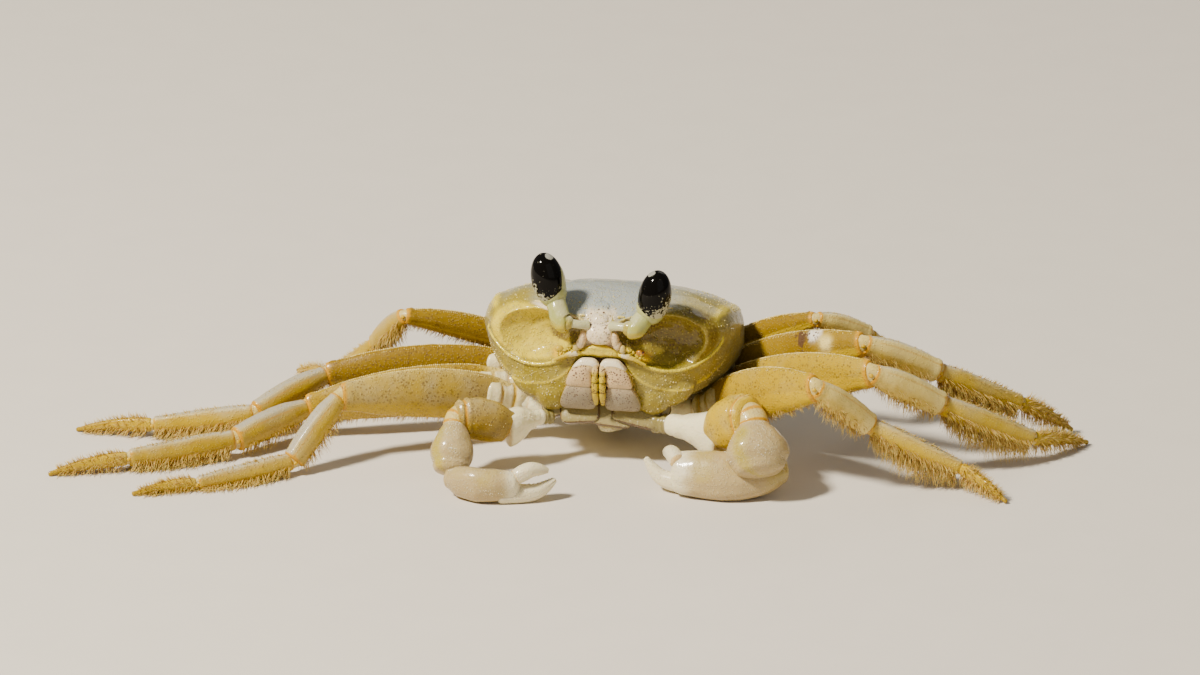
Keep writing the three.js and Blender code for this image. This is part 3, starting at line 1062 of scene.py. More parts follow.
    def _relief(self, index: int, at: Spot) -> float:
        """Millimetres of relief on a leg segment: ridges, rims and fine wrinkles."""
        turn, share = at.turn, at.share
        rim = 0.14 * hump(share, 0.97, 0.02) + (0.10 * hump(share, 0.03, 0.02) if index else 0.0)
        if index == 0:
            wrinkle = 0.05 * math.sin(share * 150 + 3 * grain(at.place, 2.5)) * hump(turn, 0.25, 0.16)
            crease = -0.10 * (hump(turn, 0.56, 0.02) + hump(turn, 0.94, 0.02)) * ease(share, 0.15, 0.4)
            return rim + wrinkle + crease + 0.09 * grain(at.place, 1.6)
        ridges = 0.16 * (hump(turn, 0.16, 0.03) + hump(turn, 0.34, 0.03)) - 0.14 * hump(turn, 0.25, 0.04)
        ridges += 0.10 * (hump(turn, 0.0, 0.03) + hump(turn, 0.5, 0.03))
        shape = math.sin(clamp(share) * math.pi) ** 0.5
        return rim + ridges * shape + 0.04 * grain(at.place, 1.2)

    def _edge_beads(self, index: int) -> Beads:
        """Granules along the upper and lower edges of a segment."""
        path, section = self._path(index), self._section(index)
        up = upright(self.ways[index])
        out = self.ways[index].cross(up)
        rng = random.Random(self.number * 10 + index + self.side.value)
        places = []
        steps = int(self.lengths[index] / 0.34)
        for step in range(steps):
            share = (step + 0.5) / steps
            if index == 0 and share < 0.18:
                continue
            high = section.high * along(section.high_row, share)
            wide = section.wide * along(section.wide_row, share)
            size = rng.uniform(0.12, 0.19)
            if index == 0:
                places.append((path(share) + up * high, size))
                for _speckle in range(3):
                    lift = rng.uniform(0.86, 0.97)
                    offset = out * (wide * rng.choice((-1, 1)) * rng.uniform(0.15, 0.42))
                    places.append((path(share) + up * high * lift + offset, size * 0.55))
                under = path(share) - up * high * 0.97
                places.append((under + out * wide * rng.uniform(-0.25, 0.25), size * 0.8))
            else:
                for hand in (-1, 1):
                    places.append((path(share) + up * high * 0.86 + out * (hand * wide * 0.55), size * 0.6))
        return places

    def _joint(self, form: Form, index: int) -> None:
        """Adds the soft joint skin and its small hinge knobs between a segment and the next."""
        spot, before, after = self.spots[index + 1], self.ways[index], self.ways[index + 1]
        near, far = self._section(index), self._section(index + 1)
        highs = near.high * near.high_row[-1] * 0.93, far.high * far.high_row[0] * 0.93
        wides = near.wide * near.wide_row[-1] * 0.93, far.wide * far.wide_row[0] * 0.93
        Neck(spot - before, spot, spot + after, highs, wides).add(form)
        middle = (before + after).normalized()
        up = upright(middle)
        out = middle.cross(up)
        turn = Matrix((out, middle, up)).transposed()
        for hand in (-1, 1):
            knob = spot + out * (hand * wides[0] * 0.85)
            form.ball(knob, (0.26, 0.36, 0.34), {"orange": 0.4, "warm": 1.0}, turn, 4)

    def _bristles(self, shop: Workshop) -> None:
        """Builds the leg's bristle coat: fringes on the carpus, propodus and dactyl, and under the merus."""
        coat = BristleCoat(self.number * 7 + (3 if self.side is Side.LEFT else 11))
        rng = coat.random
        fringes = (
            (0, 220, (0.35, 0.98), 1.8, (0.62, 0.88)),
            (0, 110, (0.20, 0.98), 0.7, (0.21, 0.29)),
            (1, 300, (0.05, 0.98), 2.8, (0.55, 0.95)),
            (1, 110, (0.05, 0.98), 1.0, (0.12, 0.38)),
            (2, 1150, (0.02, 0.98), 4.6, (0.52, 0.98)),
            (2, 260, (0.05, 0.98), 1.9, (0.08, 0.42)),
            (3, 560, (0.02, 0.88), 3.4, (0.0, 1.0)),
        )
        for index, count, span, length, arc in fringes:
            path, way, section = self._path(index), self.ways[index], self._section(index)
            up = upright(way)
            out = way.cross(up)
            low_u, low_v = (index % 2) * 0.5, (index // 2) * 0.5
            for _number in range(count):
                share, around = rng.uniform(*span), rng.uniform(*arc)
                cos, sin = math.cos(around * 2 * math.pi), math.sin(around * 2 * math.pi)
                size = along(section.high_row, share)
                outward = out * cos * section.wide * size + up * sin * section.high * size
                root = path(share) + outward * 0.9
                lower = clamp(-sin)
                aim = outward.normalized() + way * rng.uniform(0.25, 0.8) - UP * (0.3 * lower)
                aim += Vector([rng.uniform(-0.25, 0.25) for _axis in range(3)])
                taper = 1 - 0.45 * share if index == 3 else 0.7 + 0.3 * math.sin(share * math.pi)
                reach = length * taper * (0.5 + 0.5 * lower) * rng.uniform(0.5, 1.1)
                spot = (low_u + 0.02 + 0.46 * around, low_v + 0.02 + 0.46 * share)
                coat.plant(root, aim, reach, spot, rng.uniform(0.035, 0.065))
        shop.finish(coat.close(), f"{self.label}_bristles", BRISTLE, "leg_shell", keep_map=True)


LEG_LENGTHS = ((31, 13, 16.5, 10.5), (35, 14.5, 18, 13), (33, 14.5, 17, 13), (25, 11, 13, 11))
LEG_HALVES = (
    ((4.1, 1.85), (2.1, 1.6), (2.0, 1.15), (1.2, 0.8)),
    ((4.1, 1.85), (2.2, 1.7), (2.3, 1.25), (1.3, 0.85)),
    ((3.7, 1.8), (2.1, 1.6), (2.1, 1.2), (1.3, 0.85)),
    ((2.3, 1.5), (1.7, 1.3), (1.6, 1.0), (1.0, 0.7)),
)
HIPS = ((15, -6, 6.8), (16, -1, 7.6), (15.5, 4, 8.6), (13.5, 9, 9.6))
LEG_POSES = {  # headings of the four segments, and rises of the first three
    Side.LEFT: (
        ((43, -38, -10, 38), (23, -39, -27)),
        ((32, -34, -28, -50), (19.5, -30, -26)),
        ((30, -30, -32, -45), (23, -26, -27)),
        ((28, -38, -57, -60), (29, -24, -45)),
    ),
    Side.RIGHT: (
        ((29, 48, 32, 25), (8, -42, -5)),
        ((17, 48, 28, 20), (-4, -8, -3)),
        ((12, 46, 6, -2), (-1, -14, -8)),
        ((23, -43, -35, -45), (20, -42, -38)),
    ),
}
LEG_GOLD = {Side.LEFT: (0.75, 0.7, 0.55, 1.0), Side.RIGHT: (0.2, 0.65, 0.8, 1.0)}
# how dark each leg is painted: partly its own tone, partly painted shade, such as where the shell shades a
# leg
LEG_SHADE = {Side.LEFT: (0.42, 0.42, 0.78, 1.0), Side.RIGHT: (0.36, 0.60, 0.95, 0.80)}


def walking_legs() -> list[WalkingLeg]:
    """All eight walking legs."""
    legs = []
    for side in Side:
        for index, pose in enumerate(LEG_POSES[side]):
            tones = LEG_GOLD[side][index], LEG_SHADE[side][index]
            scarred = side is Side.LEFT and index == 2
            sizes = HIPS[index], LEG_LENGTHS[index], LEG_HALVES[index]
            legs.append(WalkingLeg(side, index + 1, *sizes, *pose, *tones, scarred))
    return legs


@dataclass(frozen=True)
class Granules:
    """A band of granules: how many, where round and along a skin, their radius and their masks."""

    count: int
    arc: Pair
    span: Pair
    size: float
    pale: float
    warm: float = 0.0


@dataclass
class Claw:
    """One claw arm: ischium, arm, wrist, palm with its fixed finger, and the movable finger."""

    side: Side
    root: Vector
    elbow: Vector
    knee: Vector
    wrist: Vector
    heel: Vector
    middle: Vector
    base: Vector
    tip: Vector
    finger_tip: Vector
    lean: float
    palm: Pair
    arm: Pair
    hinge: float

    @property
    def label(self) -> str:
        """The claw's name in node names."""
        return f"claw_{self.side.label}"

    def build(self, shop: Workshop) -> None:
        """Builds the claw's five pieces."""
        self._ischium(shop)
        self._arm(shop)
        self._wrist(shop)
        self._palm(shop)
        self._finger(shop)

    def _strew(self, form: Form, path: Path, section: Section, *bands: Granules) -> None:
        """Strews bands of granules over a swept skin.

        Args:
            form: the form to add to.
            path: the skin's path.
            section: the skin's section.
            bands: the bands of granules.
        """
        for band in bands:
            rng = random.Random(band.count + int(self.lean))
            places = []
            for _number in range(band.count):
                share, angle = rng.uniform(*band.span), rng.uniform(*band.arc) * 2 * math.pi
                ring = Ring.at(path, section, CAP + (1 - 2 * CAP) * share)
                outward = ring.out * math.cos(angle) * ring.wide + ring.up * math.sin(angle) * ring.high
                places.append((ring.spot + outward * 0.985, band.size * rng.uniform(0.6, 1.25)))
            form.beads(places, {"pale": band.pale, "warm": band.warm})

    @staticmethod
    def _teeth(form: Form, path: Path, section: Section, height: float, teeth: Sequence[Pair]) -> None:
        """Adds a row of teeth to a finger.

        Args:
            form: the form to add to.
            path: the finger's path.
            section: the finger's section.
            height: how far over the path they stand where the finger is full size, or under it.
            teeth: each one's share of the way along the finger and its radius.
        """
        row = section.high_row
        places = [(path(share) + UP * (height * along(row, share)), radius) for share, radius in teeth]
        form.beads(places, {"pale": 1.0})

    def _ischium(self, shop: Workshop) -> None:
        """Builds the smooth white first segment, with the olive joint skin at its root."""
        high, wide = (size * 0.75 for size in self.arm)
        reach, flare = (1.14, 1.42) if self.side is Side.LEFT else (1.02, 1.12)
        rows = (0.56, 0.56, 0.74, 1.08, flare), (0.56, 0.56, 0.74, 1.0, 0.88 * flare)
        section = Section(high, wide, *rows, 2.2, 0.0, 0.3)
        path = arch(self.root, self.elbow, 0.02, reach, 0.35)

        def paint(at: Spot) -> Masks:
            skin = 1 - ease(at.share, 0.17, 0.21)
            lower = hump(at.turn, 0.75, 0.12) * ease(at.share, 0.4, 0.8)
            return {
                "warm": 0.45 * lower + 0.3 * grain(at.place, 2.0),
                "pale": 0.95 - skin - 0.35 * lower,
                "deep": skin,
                "orange": 0.35 * hump(at.share, 1.0, 0.02),
            }

        def relief(at: Spot) -> float:
            rings = -0.26 * hump(at.share, 0.10, 0.02) - 0.30 * hump(at.share, 0.19, 0.015)
            rings -= 0.16 * hump(at.share, 0.30, 0.012)
            keel = 1.0 * hump(at.turn, 0.75, 0.08) * ease(at.share, 0.45, 1.0)
            fold = -0.28 * hump(at.turn + 0.25 * at.share, 0.55, 0.03) * ease(at.share, 0.25, 0.5)
            return rings + keel + fold + 0.22 * grain(at.place, 2.6) + 0.10 * grain(at.place, 1.1)

        form = Form()
        form.sweep(path, section, Detail.FINE, paint, relief)
        lower_edge = Granules(70, (0.70, 0.80), (0.35, 0.99), 0.17, 1.0)
        upper_side = Granules(30, (0.05, 0.45), (0.5, 0.98), 0.10, 1.0)
        self._strew(form, path, section, lower_edge, upper_side)
        shop.skin(form, f"{self.label}_ischium", UNDER_SHELL, "pale_shell")

    def _arm(self, shop: Workshop) -> None:
        """Builds the olive-beige arm segment, with the banded joint at its far rim."""
        elbow, knee, wrist = self.elbow, self.knee, self.wrist
        high, wide = self.arm
        rows = (0.78, 1.0, 1.06, 1.02, 0.88), (0.8, 1.0, 1.02, 1.0, 0.88)
        section = Section(high, wide, *rows, 2.3, 0.0, 0.3)
        start, warmth, depth = (0.12, 0.86, 0.10) if self.side is Side.LEFT else (0.04, 0.55, 0.42)
        path = arch(elbow, knee, start, 0.94, 0.5)

        def paint(at: Spot) -> Masks:
            turn, share = at.turn, at.share
            rim = hump(share, 0.90, 0.03)
            edge = hump(turn, 0.70, 0.025) * ease(share, 0.1, 0.3)
            return {
                "warm": warmth + 0.3 * grain(at.place, 2.5) + 0.3 * hump(turn, 0.75, 0.2),
                "pale": 0.10 * hump(turn, 0.25, 0.2) + 0.6 * hump(share, 0.96, 0.02),
                "orange": 0.85 * rim + 0.6 * edge + 0.4 * hump(share, 0.0, 0.02),
                "deep": depth + 0.25 * hump(turn, 0.5, 0.15) + 0.2 * hump(turn, 0.0, 0.15),
                "dark": 0.3,
            }

        def relief(at: Spot) -> float:
            ridge = 0.24 * (hump(at.turn, 0.30, 0.03) + hump(at.turn, 0.70, 0.03))
            bands = 0.24 * hump(at.share, 0.97, 0.02) - 0.20 * hump(at.share, 0.90, 0.025)
            bands += 0.14 * hump(at.share, 0.82, 0.03)
            return ridge + bands + 0.10 * grain(at.place, 1.5)

        form = Form()
        form.sweep(path, section, Detail.FINE, paint, relief)
        upper_edge = Granules(90, (0.28, 0.32), (0.05, 0.88), 0.17, 0.9, 0.6)
        upper_side = Granules(160, (0.1, 0.5), (0.1, 0.88), 0.10, 0.8, 0.6)
        lower_edge = Granules(60, (0.68, 0.72), (0.1, 0.92), 0.16, 0.9, 0.6)
        far_rim = Granules(60, (0.0, 0.55), (0.97, 1.0), 0.14, 1.0)
        self._strew(form, path, section, upper_edge, upper_side, lower_edge, far_rim)
        before, after = (knee - elbow).normalized(), (wrist - knee).normalized()
        highs, wides = (high * 0.80, high * 0.60), (wide * 0.80, wide * 0.64)
        bands = ((0.10, 0.10), (0.52, 0.07), (0.92, 0.06))
        Neck(knee - before * 1.3, knee, knee + after * 1.5, highs, wides, bands).add(form)
        shop.skin(form, f"{self.label}_arm", LEG_SHELL, "leg_shell")

    def _wrist(self, shop: Workshop) -> None:
        """Builds the shield-shaped wrist with its granular back."""
        high, wide = self.arm[0] * 0.95, self.arm[1] * 1.1
        rows = (0.50, 0.86, 1.04, 1.0, 0.72), (0.46, 0.78, 1.06, 1.16, 0.9)
        section = Section(high, wide, *rows, 2.3, 0.0, 0.5)
        path = arch(self.knee, self.wrist, 0.06, 0.92)

        def paint(at: Spot) -> Masks:
            streak = hump(at.turn, 0.13, 0.05) * ease(at.share, 0.05, 0.4)
            return {
                "warm": 0.10 + 0.85 * streak + 0.3 * grain(at.place, 2.2),
                "pale": 0.22 + 0.5 * hump(at.share, 0.0, 0.1),
                "orange": 0.9 * hump(at.share, 0.0, 0.03),
                "deep": 0.35 * streak,
                "dark": 0.12,
            }

        def relief(at: Spot) -> float:
            ridge = 0.26 * hump(at.turn, 0.45, 0.03) * ease(at.share, 0.1, 0.3)
            return ridge + 0.13 * grain(at.place, 1.7) + 0.18 * hump(at.share, 0.97, 0.03)

        form = Form()
        form.sweep(path, section, Detail.FINE, paint, relief)
        back = Granules(420, (0.0, 0.5), (0.06, 0.99), 0.11, 0.8, 0.1)
        edge = Granules(70, (0.43, 0.47), (0.1, 0.95), 0.18, 0.9, 0.1)
        self._strew(form, path, section, back, edge)
        shop.skin(form, f"{self.label}_wrist", CLAW_SHELL, "claw_shell")

    def _palm_path(self) -> Path:
        """The path along the palm from its heel to the fingers' base."""
        return route([self.heel, self.middle, self.base])

    def _inward(self) -> Vector:
        """The direction in which the palm ends at the fingers' base."""
        path = self._palm_path()
        return (path(1.0) - path(0.98)).normalized()

    def _palm(self, shop: Workshop) -> None:
        """Builds the palm and the fixed finger, with granular edges and small teeth."""
        path = self._palm_path()
        rows = (0.60, 0.9, 1.0, 1.0, 0.94, 0.84), (0.68, 0.95, 1.0, 1.0, 0.9, 0.72)
        section = Section(*self.palm, *rows, 2.3, 0.0, 0.7, self.lean)

        def paint(at: Spot) -> Masks:
            patch = ease(grain(at.place, 4.0), -0.2, 0.5)
            return {
                "warm": 0.42 * patch + 0.25 * hump(at.turn, 0.22, 0.08),
                "pale": 0.12 + 0.7 * ease(at.share, 0.72, 1.0),
                "dark": 0.10 * (1 - ease(at.share, 0.7, 1.0)),
            }

        def relief(at: Spot) -> float:
            seam = -0.14 * hump(at.turn, 0.60, 0.02) * ease(at.share, 0.2, 0.6)
            crest = 0.22 * hump(at.turn, 0.25, 0.025) + 0.14 * hump(at.turn, 0.55, 0.03)
            return seam + crest + 0.13 * grain(at.place, 2.0)

        def finger_relief(at: Spot) -> float:
            return -0.12 * (hump(at.turn, 0.0, 0.03) + hump(at.turn, 0.5, 0.03))

        form = Form()
        form.sweep(path, section, Detail.FINE, paint, relief)
        down = UP * -self.hinge
        start = self.base - self._inward() * 2 + down
        finger_path = route([start, self.base.lerp(self.tip, 0.5) + down * 1.1, self.tip])
        rows = (1.0, 0.95, 0.80, 0.58, 0.28), (1.0, 1.0, 0.84, 0.58, 0.3)
        finger = Section(1.7, 1.5, *rows, 2.0, 0.0, 0.6)
        form.sweep(finger_path, finger, Detail.MEDIUM, lambda _at: {"pale": 1.0}, finger_relief)
        crest = Granules(110, (0.23, 0.28), (0.0, 0.97), 0.19, 0.9)
        side = Granules(620, (-0.05, 0.58), (0.0, 0.98), 0.09, 0.6, 0.1)
        self._strew(form, path, section, crest, side)
        teeth = [(0.42 + 0.08 * step, 0.36 - 0.02 * step) for step in range(7)]
        self._teeth(form, finger_path, finger, 1.5, teeth)
        shop.skin(form, f"{self.label}_palm", CLAW_SHELL, "claw_shell")

    def _finger(self, shop: Workshop) -> None:
        """Builds the movable finger."""
        hinge = self.base + self._inward() * JOINT_GAP + UP * self.hinge
        path = route([hinge, hinge.lerp(self.finger_tip, 0.5) + UP * 0.7, self.finger_tip])
        rows = (0.9, 1.0, 0.92, 0.70, 0.36), (0.9, 1.0, 0.92, 0.70, 0.4)
        section = Section(1.35, 1.3, *rows, 2.0, 0.0, 0.5)

        def relief(at: Spot) -> float:
            groove = hump(at.turn, 0.0, 0.03) + hump(at.turn, 0.5, 0.03)
            return -0.12 * groove + 0.12 * hump(at.share, 0.04, 0.03)

        def paint(at: Spot) -> Masks:
            return {"pale": 1.0, "orange": 0.5 * hump(at.share, 0, 0.04)}

        form = Form()
        form.sweep(path, section, Detail.MEDIUM, paint, relief)
        self._teeth(form, path, section, -1.2, [(0.3 + 0.1 * step, 0.28) for step in range(5)])
        shop.skin(form, f"{self.label}_finger", CLAW_SHELL, "claw_shell")


CLAW_PLACES = {  # root, elbow, knee, wrist, heel, middle of the palm, fingers' base and both tips
    Side.LEFT: (
        (8.3, -14.6, 7.4), (18.8, -18.6, 7.4), (25.3, -22.9, 12.2), (27.5, -29.0, 5.4), (30.2, -23.8, 4.2),
        (22.7, -26.8, 3.6), (14.2, -26.6, 3.7), (8.6, -24.8, 5.0), (11.4, -22.6, 5.4),
    ),
    Side.RIGHT: (
        (-8.3, -14.6, 7.4), (-14.6, -19.8, 7.4), (-22.6, -23.4, 9.6), (-22.2, -30.2, 2.9),
        (-21.6, -33.0, 2.8), (-16.6, -35.0, 2.9), (-11.2, -34.6, 3.0), (-5.0, -32.2, 3.3), (-6.1, -32.6, 5.1),
    ),
}
CLAW_SIZES = {  # lean, half sizes of palm and arm, and how far the fingers part at their base
    Side.LEFT: (28, (3.9, 2.6), (4.0, 3.9), 1.9),
    Side.RIGHT: (15, (2.8, 2.1), (3.2, 2.7), 1.4),
}


def claws() -> list[Claw]:
    """The larger left claw and the smaller right one."""
    return [Claw(side, *map(Vector, CLAW_PLACES[side]), *CLAW_SIZES[side]) for side in Side]


# ---- Body ----


@dataclass
class Carapace:
    """The back shell with its orbits, rostrum, cheeks and flanks."""

    front: float = -17.2
    rear: float = 15.6
    crest: float = 28.6
    slope: float = 0.37
    crest_y: float = -6.0
    softness: float = 3.0
    crown: float = 2.4
    underside: float = 8.5
    underside_slope: float = 0.12
    half_width: float = 20.0
    squareness: float = 4.5
    orbit: Triple = (11.8, -18.0, 22.0)
    orbit_size: Triple = (7.3, 5.0, 5.0)
    orbit_edge: Pair = (7.1, 4.75)
    orbit_lean: float = 4.0
    rostrum: Triple = (-0.1, -16.6, 23.6)
    rostrum_size: Triple = (1.9, 1.6, 2.7)
    hollow: Triple = (6.0, -18.6, 23.2)
    hollow_size: Triple = (3.9, 3.2, 2.5)
    hollow_lean: float = 12.0
    cheeks: tuple[tuple[Triple, Triple, float], ...] = (
        ((8.0, -15.0, 12.0), (3.0, 2.0, 3.2), -28),
        ((11.0, -14.0, 13.0), (4.2, 2.2, 2.6), -24),
    )
    voxel: float = 0.26

    def back_height(self, x: float, y: float) -> float:
        """Height of the back over a place."""
        behind = y - self.crest_y
        fall = self.slope * (math.hypot(behind, self.softness) + behind) / 2
        return self.crest - fall - self.crown * (x / self.half_width) ** 2

    def underside_height(self, y: float) -> float:
        """Height of the shell's underside."""
        return self.underside + self.underside_slope * (y - self.front)

    def shell_point(self, unit: Vector) -> Vector:
        """The place of a point of the rounded unit box on the shell."""
        rearward, upward = (unit.y + 1) / 2, (unit.z + 1) / 2
        outline = along((20.4, 20.4, 20.7, 20.9, 20.2, 18.2, 14.8), rearward)
        under = along((11, 14, 17.2, 19, 19, 17, 12.4), rearward)
        shoulder = along((0.95, 0.7, 0.46, 0.4, 0.38), rearward)
        width = mix(under, outline, min(1.0, max(upward, 0.0) / shoulder) ** 0.7)
        x = unit.x * width
        y = mix(self.front, self.rear, rearward)
        return Vector((x, y, mix(self.underside_height(y), self.back_height(x, y), upward)))

    def _solid(self, shape: Shape, cuts: int, squareness: float) -> bpy.types.Object:
        """A rounded solid as an object, for joining and cutting."""
        bm = bmesh.new()
        rounded_box(bm, cuts, squareness)
        for vert in bm.verts:
            vert.co = shape(vert.co.copy())
        bmesh.ops.recalc_face_normals(bm, faces=bm.faces[:])
        return put("working", pour(bm, "working"))

    def _blob(self, centre: Triple, size: Triple, lean: float) -> bpy.types.Object:
        """A scaled ball as an object, leaning about Y."""
        return self._solid(egg(Vector(centre), size, tilt(lean)), 14, 2.0)

    def _apply(self, body: bpy.types.Object) -> None:
        """Applies the modifiers of a working object."""
        graph = bpy.context.evaluated_depsgraph_get()
        mesh = bpy.data.meshes.new_from_object(body.evaluated_get(graph))
        old = body.data
        body.modifiers.clear()
        body.data = mesh
        bpy.data.meshes.remove(old)

    def _combine(self, body: bpy.types.Object, tool: bpy.types.Object, operation: str) -> None:
        """Joins or cuts a working object with a tool, which is used up."""
        cut = body.modifiers.new("combine", "BOOLEAN")
        cut.operation = operation
        cut.object = tool
        cut.solver = "EXACT"
        self._apply(body)
        discard(tool)

    def _combine_pairs(
        self, body: bpy.types.Object, balls: Sequence[tuple[Triple, Triple, float]], operation: str
    ) -> None:
        """Joins or cuts a working object with pairs of balls.

        Args:
            body: the working object.
            balls: centre, half sizes and lean of each pair's left ball.
            operation: the kind of join.
        """
        for sign in (-1, 1):
            for (x, y, z), size, lean in balls:
                self._combine(body, self._blob((sign * x, y, z), size, sign * lean), operation)

    def build(self, shop: Workshop) -> None:
        """Builds the carapace: cut, joined, remeshed and then worked over."""
        body = self._solid(self.shell_point, 40, self.squareness)
        orbit = self.orbit, self.orbit_size, self.orbit_lean
        hollow = self.hollow, self.hollow_size, self.hollow_lean
        self._combine_pairs(body, (orbit, hollow), "DIFFERENCE")
        self._combine(body, self._solid(egg(Vector(self.rostrum), self.rostrum_size), 16, 2.6), "UNION")
        self._combine(body, self._solid(self._epistome_point, 10, 4.0), "UNION")
        self._combine_pairs(body, self.cheeks, "UNION")
        self._combine(body, self._solid(self._mouth_point, 8, 5.0), "DIFFERENCE")
        remesh = body.modifiers.new("even", "REMESH")
        remesh.mode = "VOXEL"
        remesh.voxel_size = self.voxel
        self._apply(body)
        form = Form()
        form.bm.from_mesh(body.data)
        discard(body)
        ways = {"use_axis_x": True, "use_axis_y": True, "use_axis_z": True}
        for _pass in range(3):
            bmesh.ops.smooth_vert(form.bm, verts=form.bm.verts[:], factor=0.5, **ways)
        surface = BVHTree.FromBMesh(form.bm)
        self._work_over(form)
        self._granules(form)
        self._face(form)
        for side in Side:
            self._rim(form, surface, side)
        shop.skin(form, "carapace", BACK_SHELL, "back_shell")

    def _epistome_point(self, unit: Vector) -> Vector:
        """A point of the block between the rostrum and the mouth."""
        return Vector((unit.x * 4.4, -16.7 + unit.y * 1.0, 20.1 + unit.z * 0.9))

    def _face(self, form: Form) -> None:
        """Adds the crisp parts of the face: the tongue of the rostrum and the lips above the mouth."""

        def tongue(unit: Vector) -> Vector:
            upward = (unit.z + 1) / 2
            half = 2.2 + 0.12 * hump(upward, 0.15, 0.15) + 0.15 * upward
            back = 3.3 * ease(upward, 0.35, 1.0) - 0.25 * hump(abs(unit.x), 0.0, 0.7) * (1 - upward)
            return Vector((-0.06 + half * unit.x, -17.2 + 1.8 * unit.y + back, 24.4 + 3.0 * unit.z))

        def tongue_paint(place: Vector) -> Masks:
            edge = max(ease(abs(place.x + 0.06), 1.75, 2.15), 1 - ease(place.z, 21.5, 22.1))
            fade = 1 - ease(place.z, 26.0, 27.4)
            glow = hump(place.z, 23.4, 1.1) * hump(place.x, 0.0, 1.2)
            specks = 0.50 * hump(place.z, 25.6, 1.0) + 0.34
            return {
                "blush": fade * (0.9 - 0.5 * edge) - 0.25 * hump(place.z, 25.8, 0.8),
                "pale": 0.75 * edge * fade + 0.25 * glow + 0.55 * hump(place.z, 25.8, 0.9),
                "warm": 0.06 + 0.8 * edge * fade,
                "dark": specks * (1 - edge) * ease(27.4 - place.z, 0, 0.8),
            }

        def lip(unit: Vector) -> Vector:
            notch = 0.35 * hump(unit.x, 0, 0.16) * max(0.0, -unit.z)
            arms = 0.35 * unit.x**2 * max(0.0, unit.z)
            half = mix(3.4, 2.1, (unit.z + 1) / 2)
            sides, middle = 0.55 * abs(unit.x) ** 1.5, 0.25 * (1 - hump(abs(unit.x), 0.5, 0.3))
            bow = sides * (1 - unit.z) / 2 - middle * (1 - unit.z) / 2
            height = 20.5 + unit.z * 0.8 - notch - arms - 0.5 * bow
            return Vector((-0.1 + unit.x * half, -17.45 + unit.y * 0.85, height))

        def lip_paint(place: Vector) -> Masks:
            return {"pale": 0.75 - 0.3 * hump(place.z, 20.6, 0.4), "warm": 0.75}

        form.pillow(26, tongue, tongue_paint, 3.0)
        form.pillow(20, lip, lip_paint, 4.0)
        inner_lobe = (3.7, -17.5, 19.75), (0.85, 0.75, 0.50), {"pale": 0.7, "warm": 0.8}
        outer_lobe = (4.7, -17.4, 19.4), (0.75, 0.7, 0.50), {"pale": 0.35, "warm": 0.9}
        for sign in (-1, 1):
            for (x, y, z), size, values in (inner_lobe, outer_lobe):
                form.ball(Vector((sign * x, y, z)), size, values, tilt(sign * 12), 10)

    def _rim(self, form: Form, surface: BVHTree, side: Side) -> None:
        """Adds the fine granular rim round an orbit and over the hollow of the eyestalk.

        Args:
            form: the shell.
            surface: the shell's surface before it was worked over.
            side: the side of the orbit.
        """
        s = side.value
        lean = math.radians(self.orbit_lean)
        wide, high = self.orbit_edge
        outline = []
        for step in range(48):
            angle = math.radians(mix(-168, 158, step / 47))
            across, upward = wide * 1.045 * math.cos(angle), high * 1.045 * math.sin(angle)
            dx = across * math.cos(lean) - upward * math.sin(lean)
            dz = across * math.sin(lean) + upward * math.cos(lean)
            outline.append((self.orbit[0] + dx, self.orbit[2] + dz))
        outline += [(4.6, 25.85), (3.6, 25.95), (2.7, 25.7)]
        points = []
        for x, z in outline:
            hit = surface.ray_cast(Vector((s * x, -40, z)), Vector((0, 1, 0)))[0]
            if hit and hit.y < -11.5:
                points.append(hit + Vector((0, -0.05, 0)))
        for _pass in range(2):
            inner = [(a + b * 2 + c) / 4 for a, b, c in zip(points, points[1:], points[2:])]
            points = [points[0], *inner, points[-1]]
        row = (0.4, 0.9, 1.0, 1.0, 1.0, 1.0, 1.0, 1.0, 0.7)
        path = route(points)

        # the rim's top is paler cream: partly its own ivory, partly a painted highlight
        def paint(at: Spot) -> Masks:
            return {
                "pale": 0.75 + 0.3 * grain(at.place, 0.9),
                "warm": 0.8,
                "blush": 0.5 * ease(at.place.z, 24.0, 26.0),
            }

        def relief(at: Spot) -> float:
            return 0.05 * grain(at.place, 0.4)

        form.sweep(path, Section(0.26, 0.30, row, row, 2.0, 0.0, 0.5), Detail.LONG, paint, relief)
        rng = random.Random(9 + s)
        beads = []
        for _number in range(170):
            spot = path(rng.random())
            offset = Vector((rng.uniform(-0.25, 0.25), rng.uniform(-0.3, 0.0), rng.uniform(-0.25, 0.25)))
            beads.append((spot + offset, rng.uniform(0.06, 0.13)))
        form.beads(beads, {"pale": 1.0, "warm": 0.5})

    def _mouth_point(self, unit: Vector) -> Vector:
        """A point of the recess that the mouthparts close."""
        width = mix(6.1, 4.6, (unit.z + 1) / 2)
        return Vector((unit.x * width, -18.6 + unit.y * 2.2, 13.9 + unit.z * 5.3))

    def _orbit_distance(self, place: Vector) -> float:
        """How far out from an orbit's middle a place is, 1 at its edge."""
        x, _y, z = self.orbit
        lean = math.radians(self.orbit_lean)
        dx, dz = abs(place.x) - x, place.z - z
        across = dx * math.cos(lean) + dz * math.sin(lean)
        upward = dz * math.cos(lean) - dx * math.sin(lean)
        return math.hypot(across / self.orbit_edge[0], upward / self.orbit_edge[1])

    def _hollow_distance(self, place: Vector) -> float:
        """How far out from the middle of an eyestalk's hollow a place is, 1 at its edge."""
        x, _y, z = self.hollow
        return math.hypot((abs(place.x) - x) / self.hollow_size[0], (place.z - z) / self.hollow_size[2])

    @staticmethod
    def _arc_distance(x: float, z: float) -> float:
        """How far out from a cheek's middle a place is, 1 on the ridge under the orbit."""
        return math.hypot((x - 12.0) / 8.4, (z - 20.8) / 7.2)

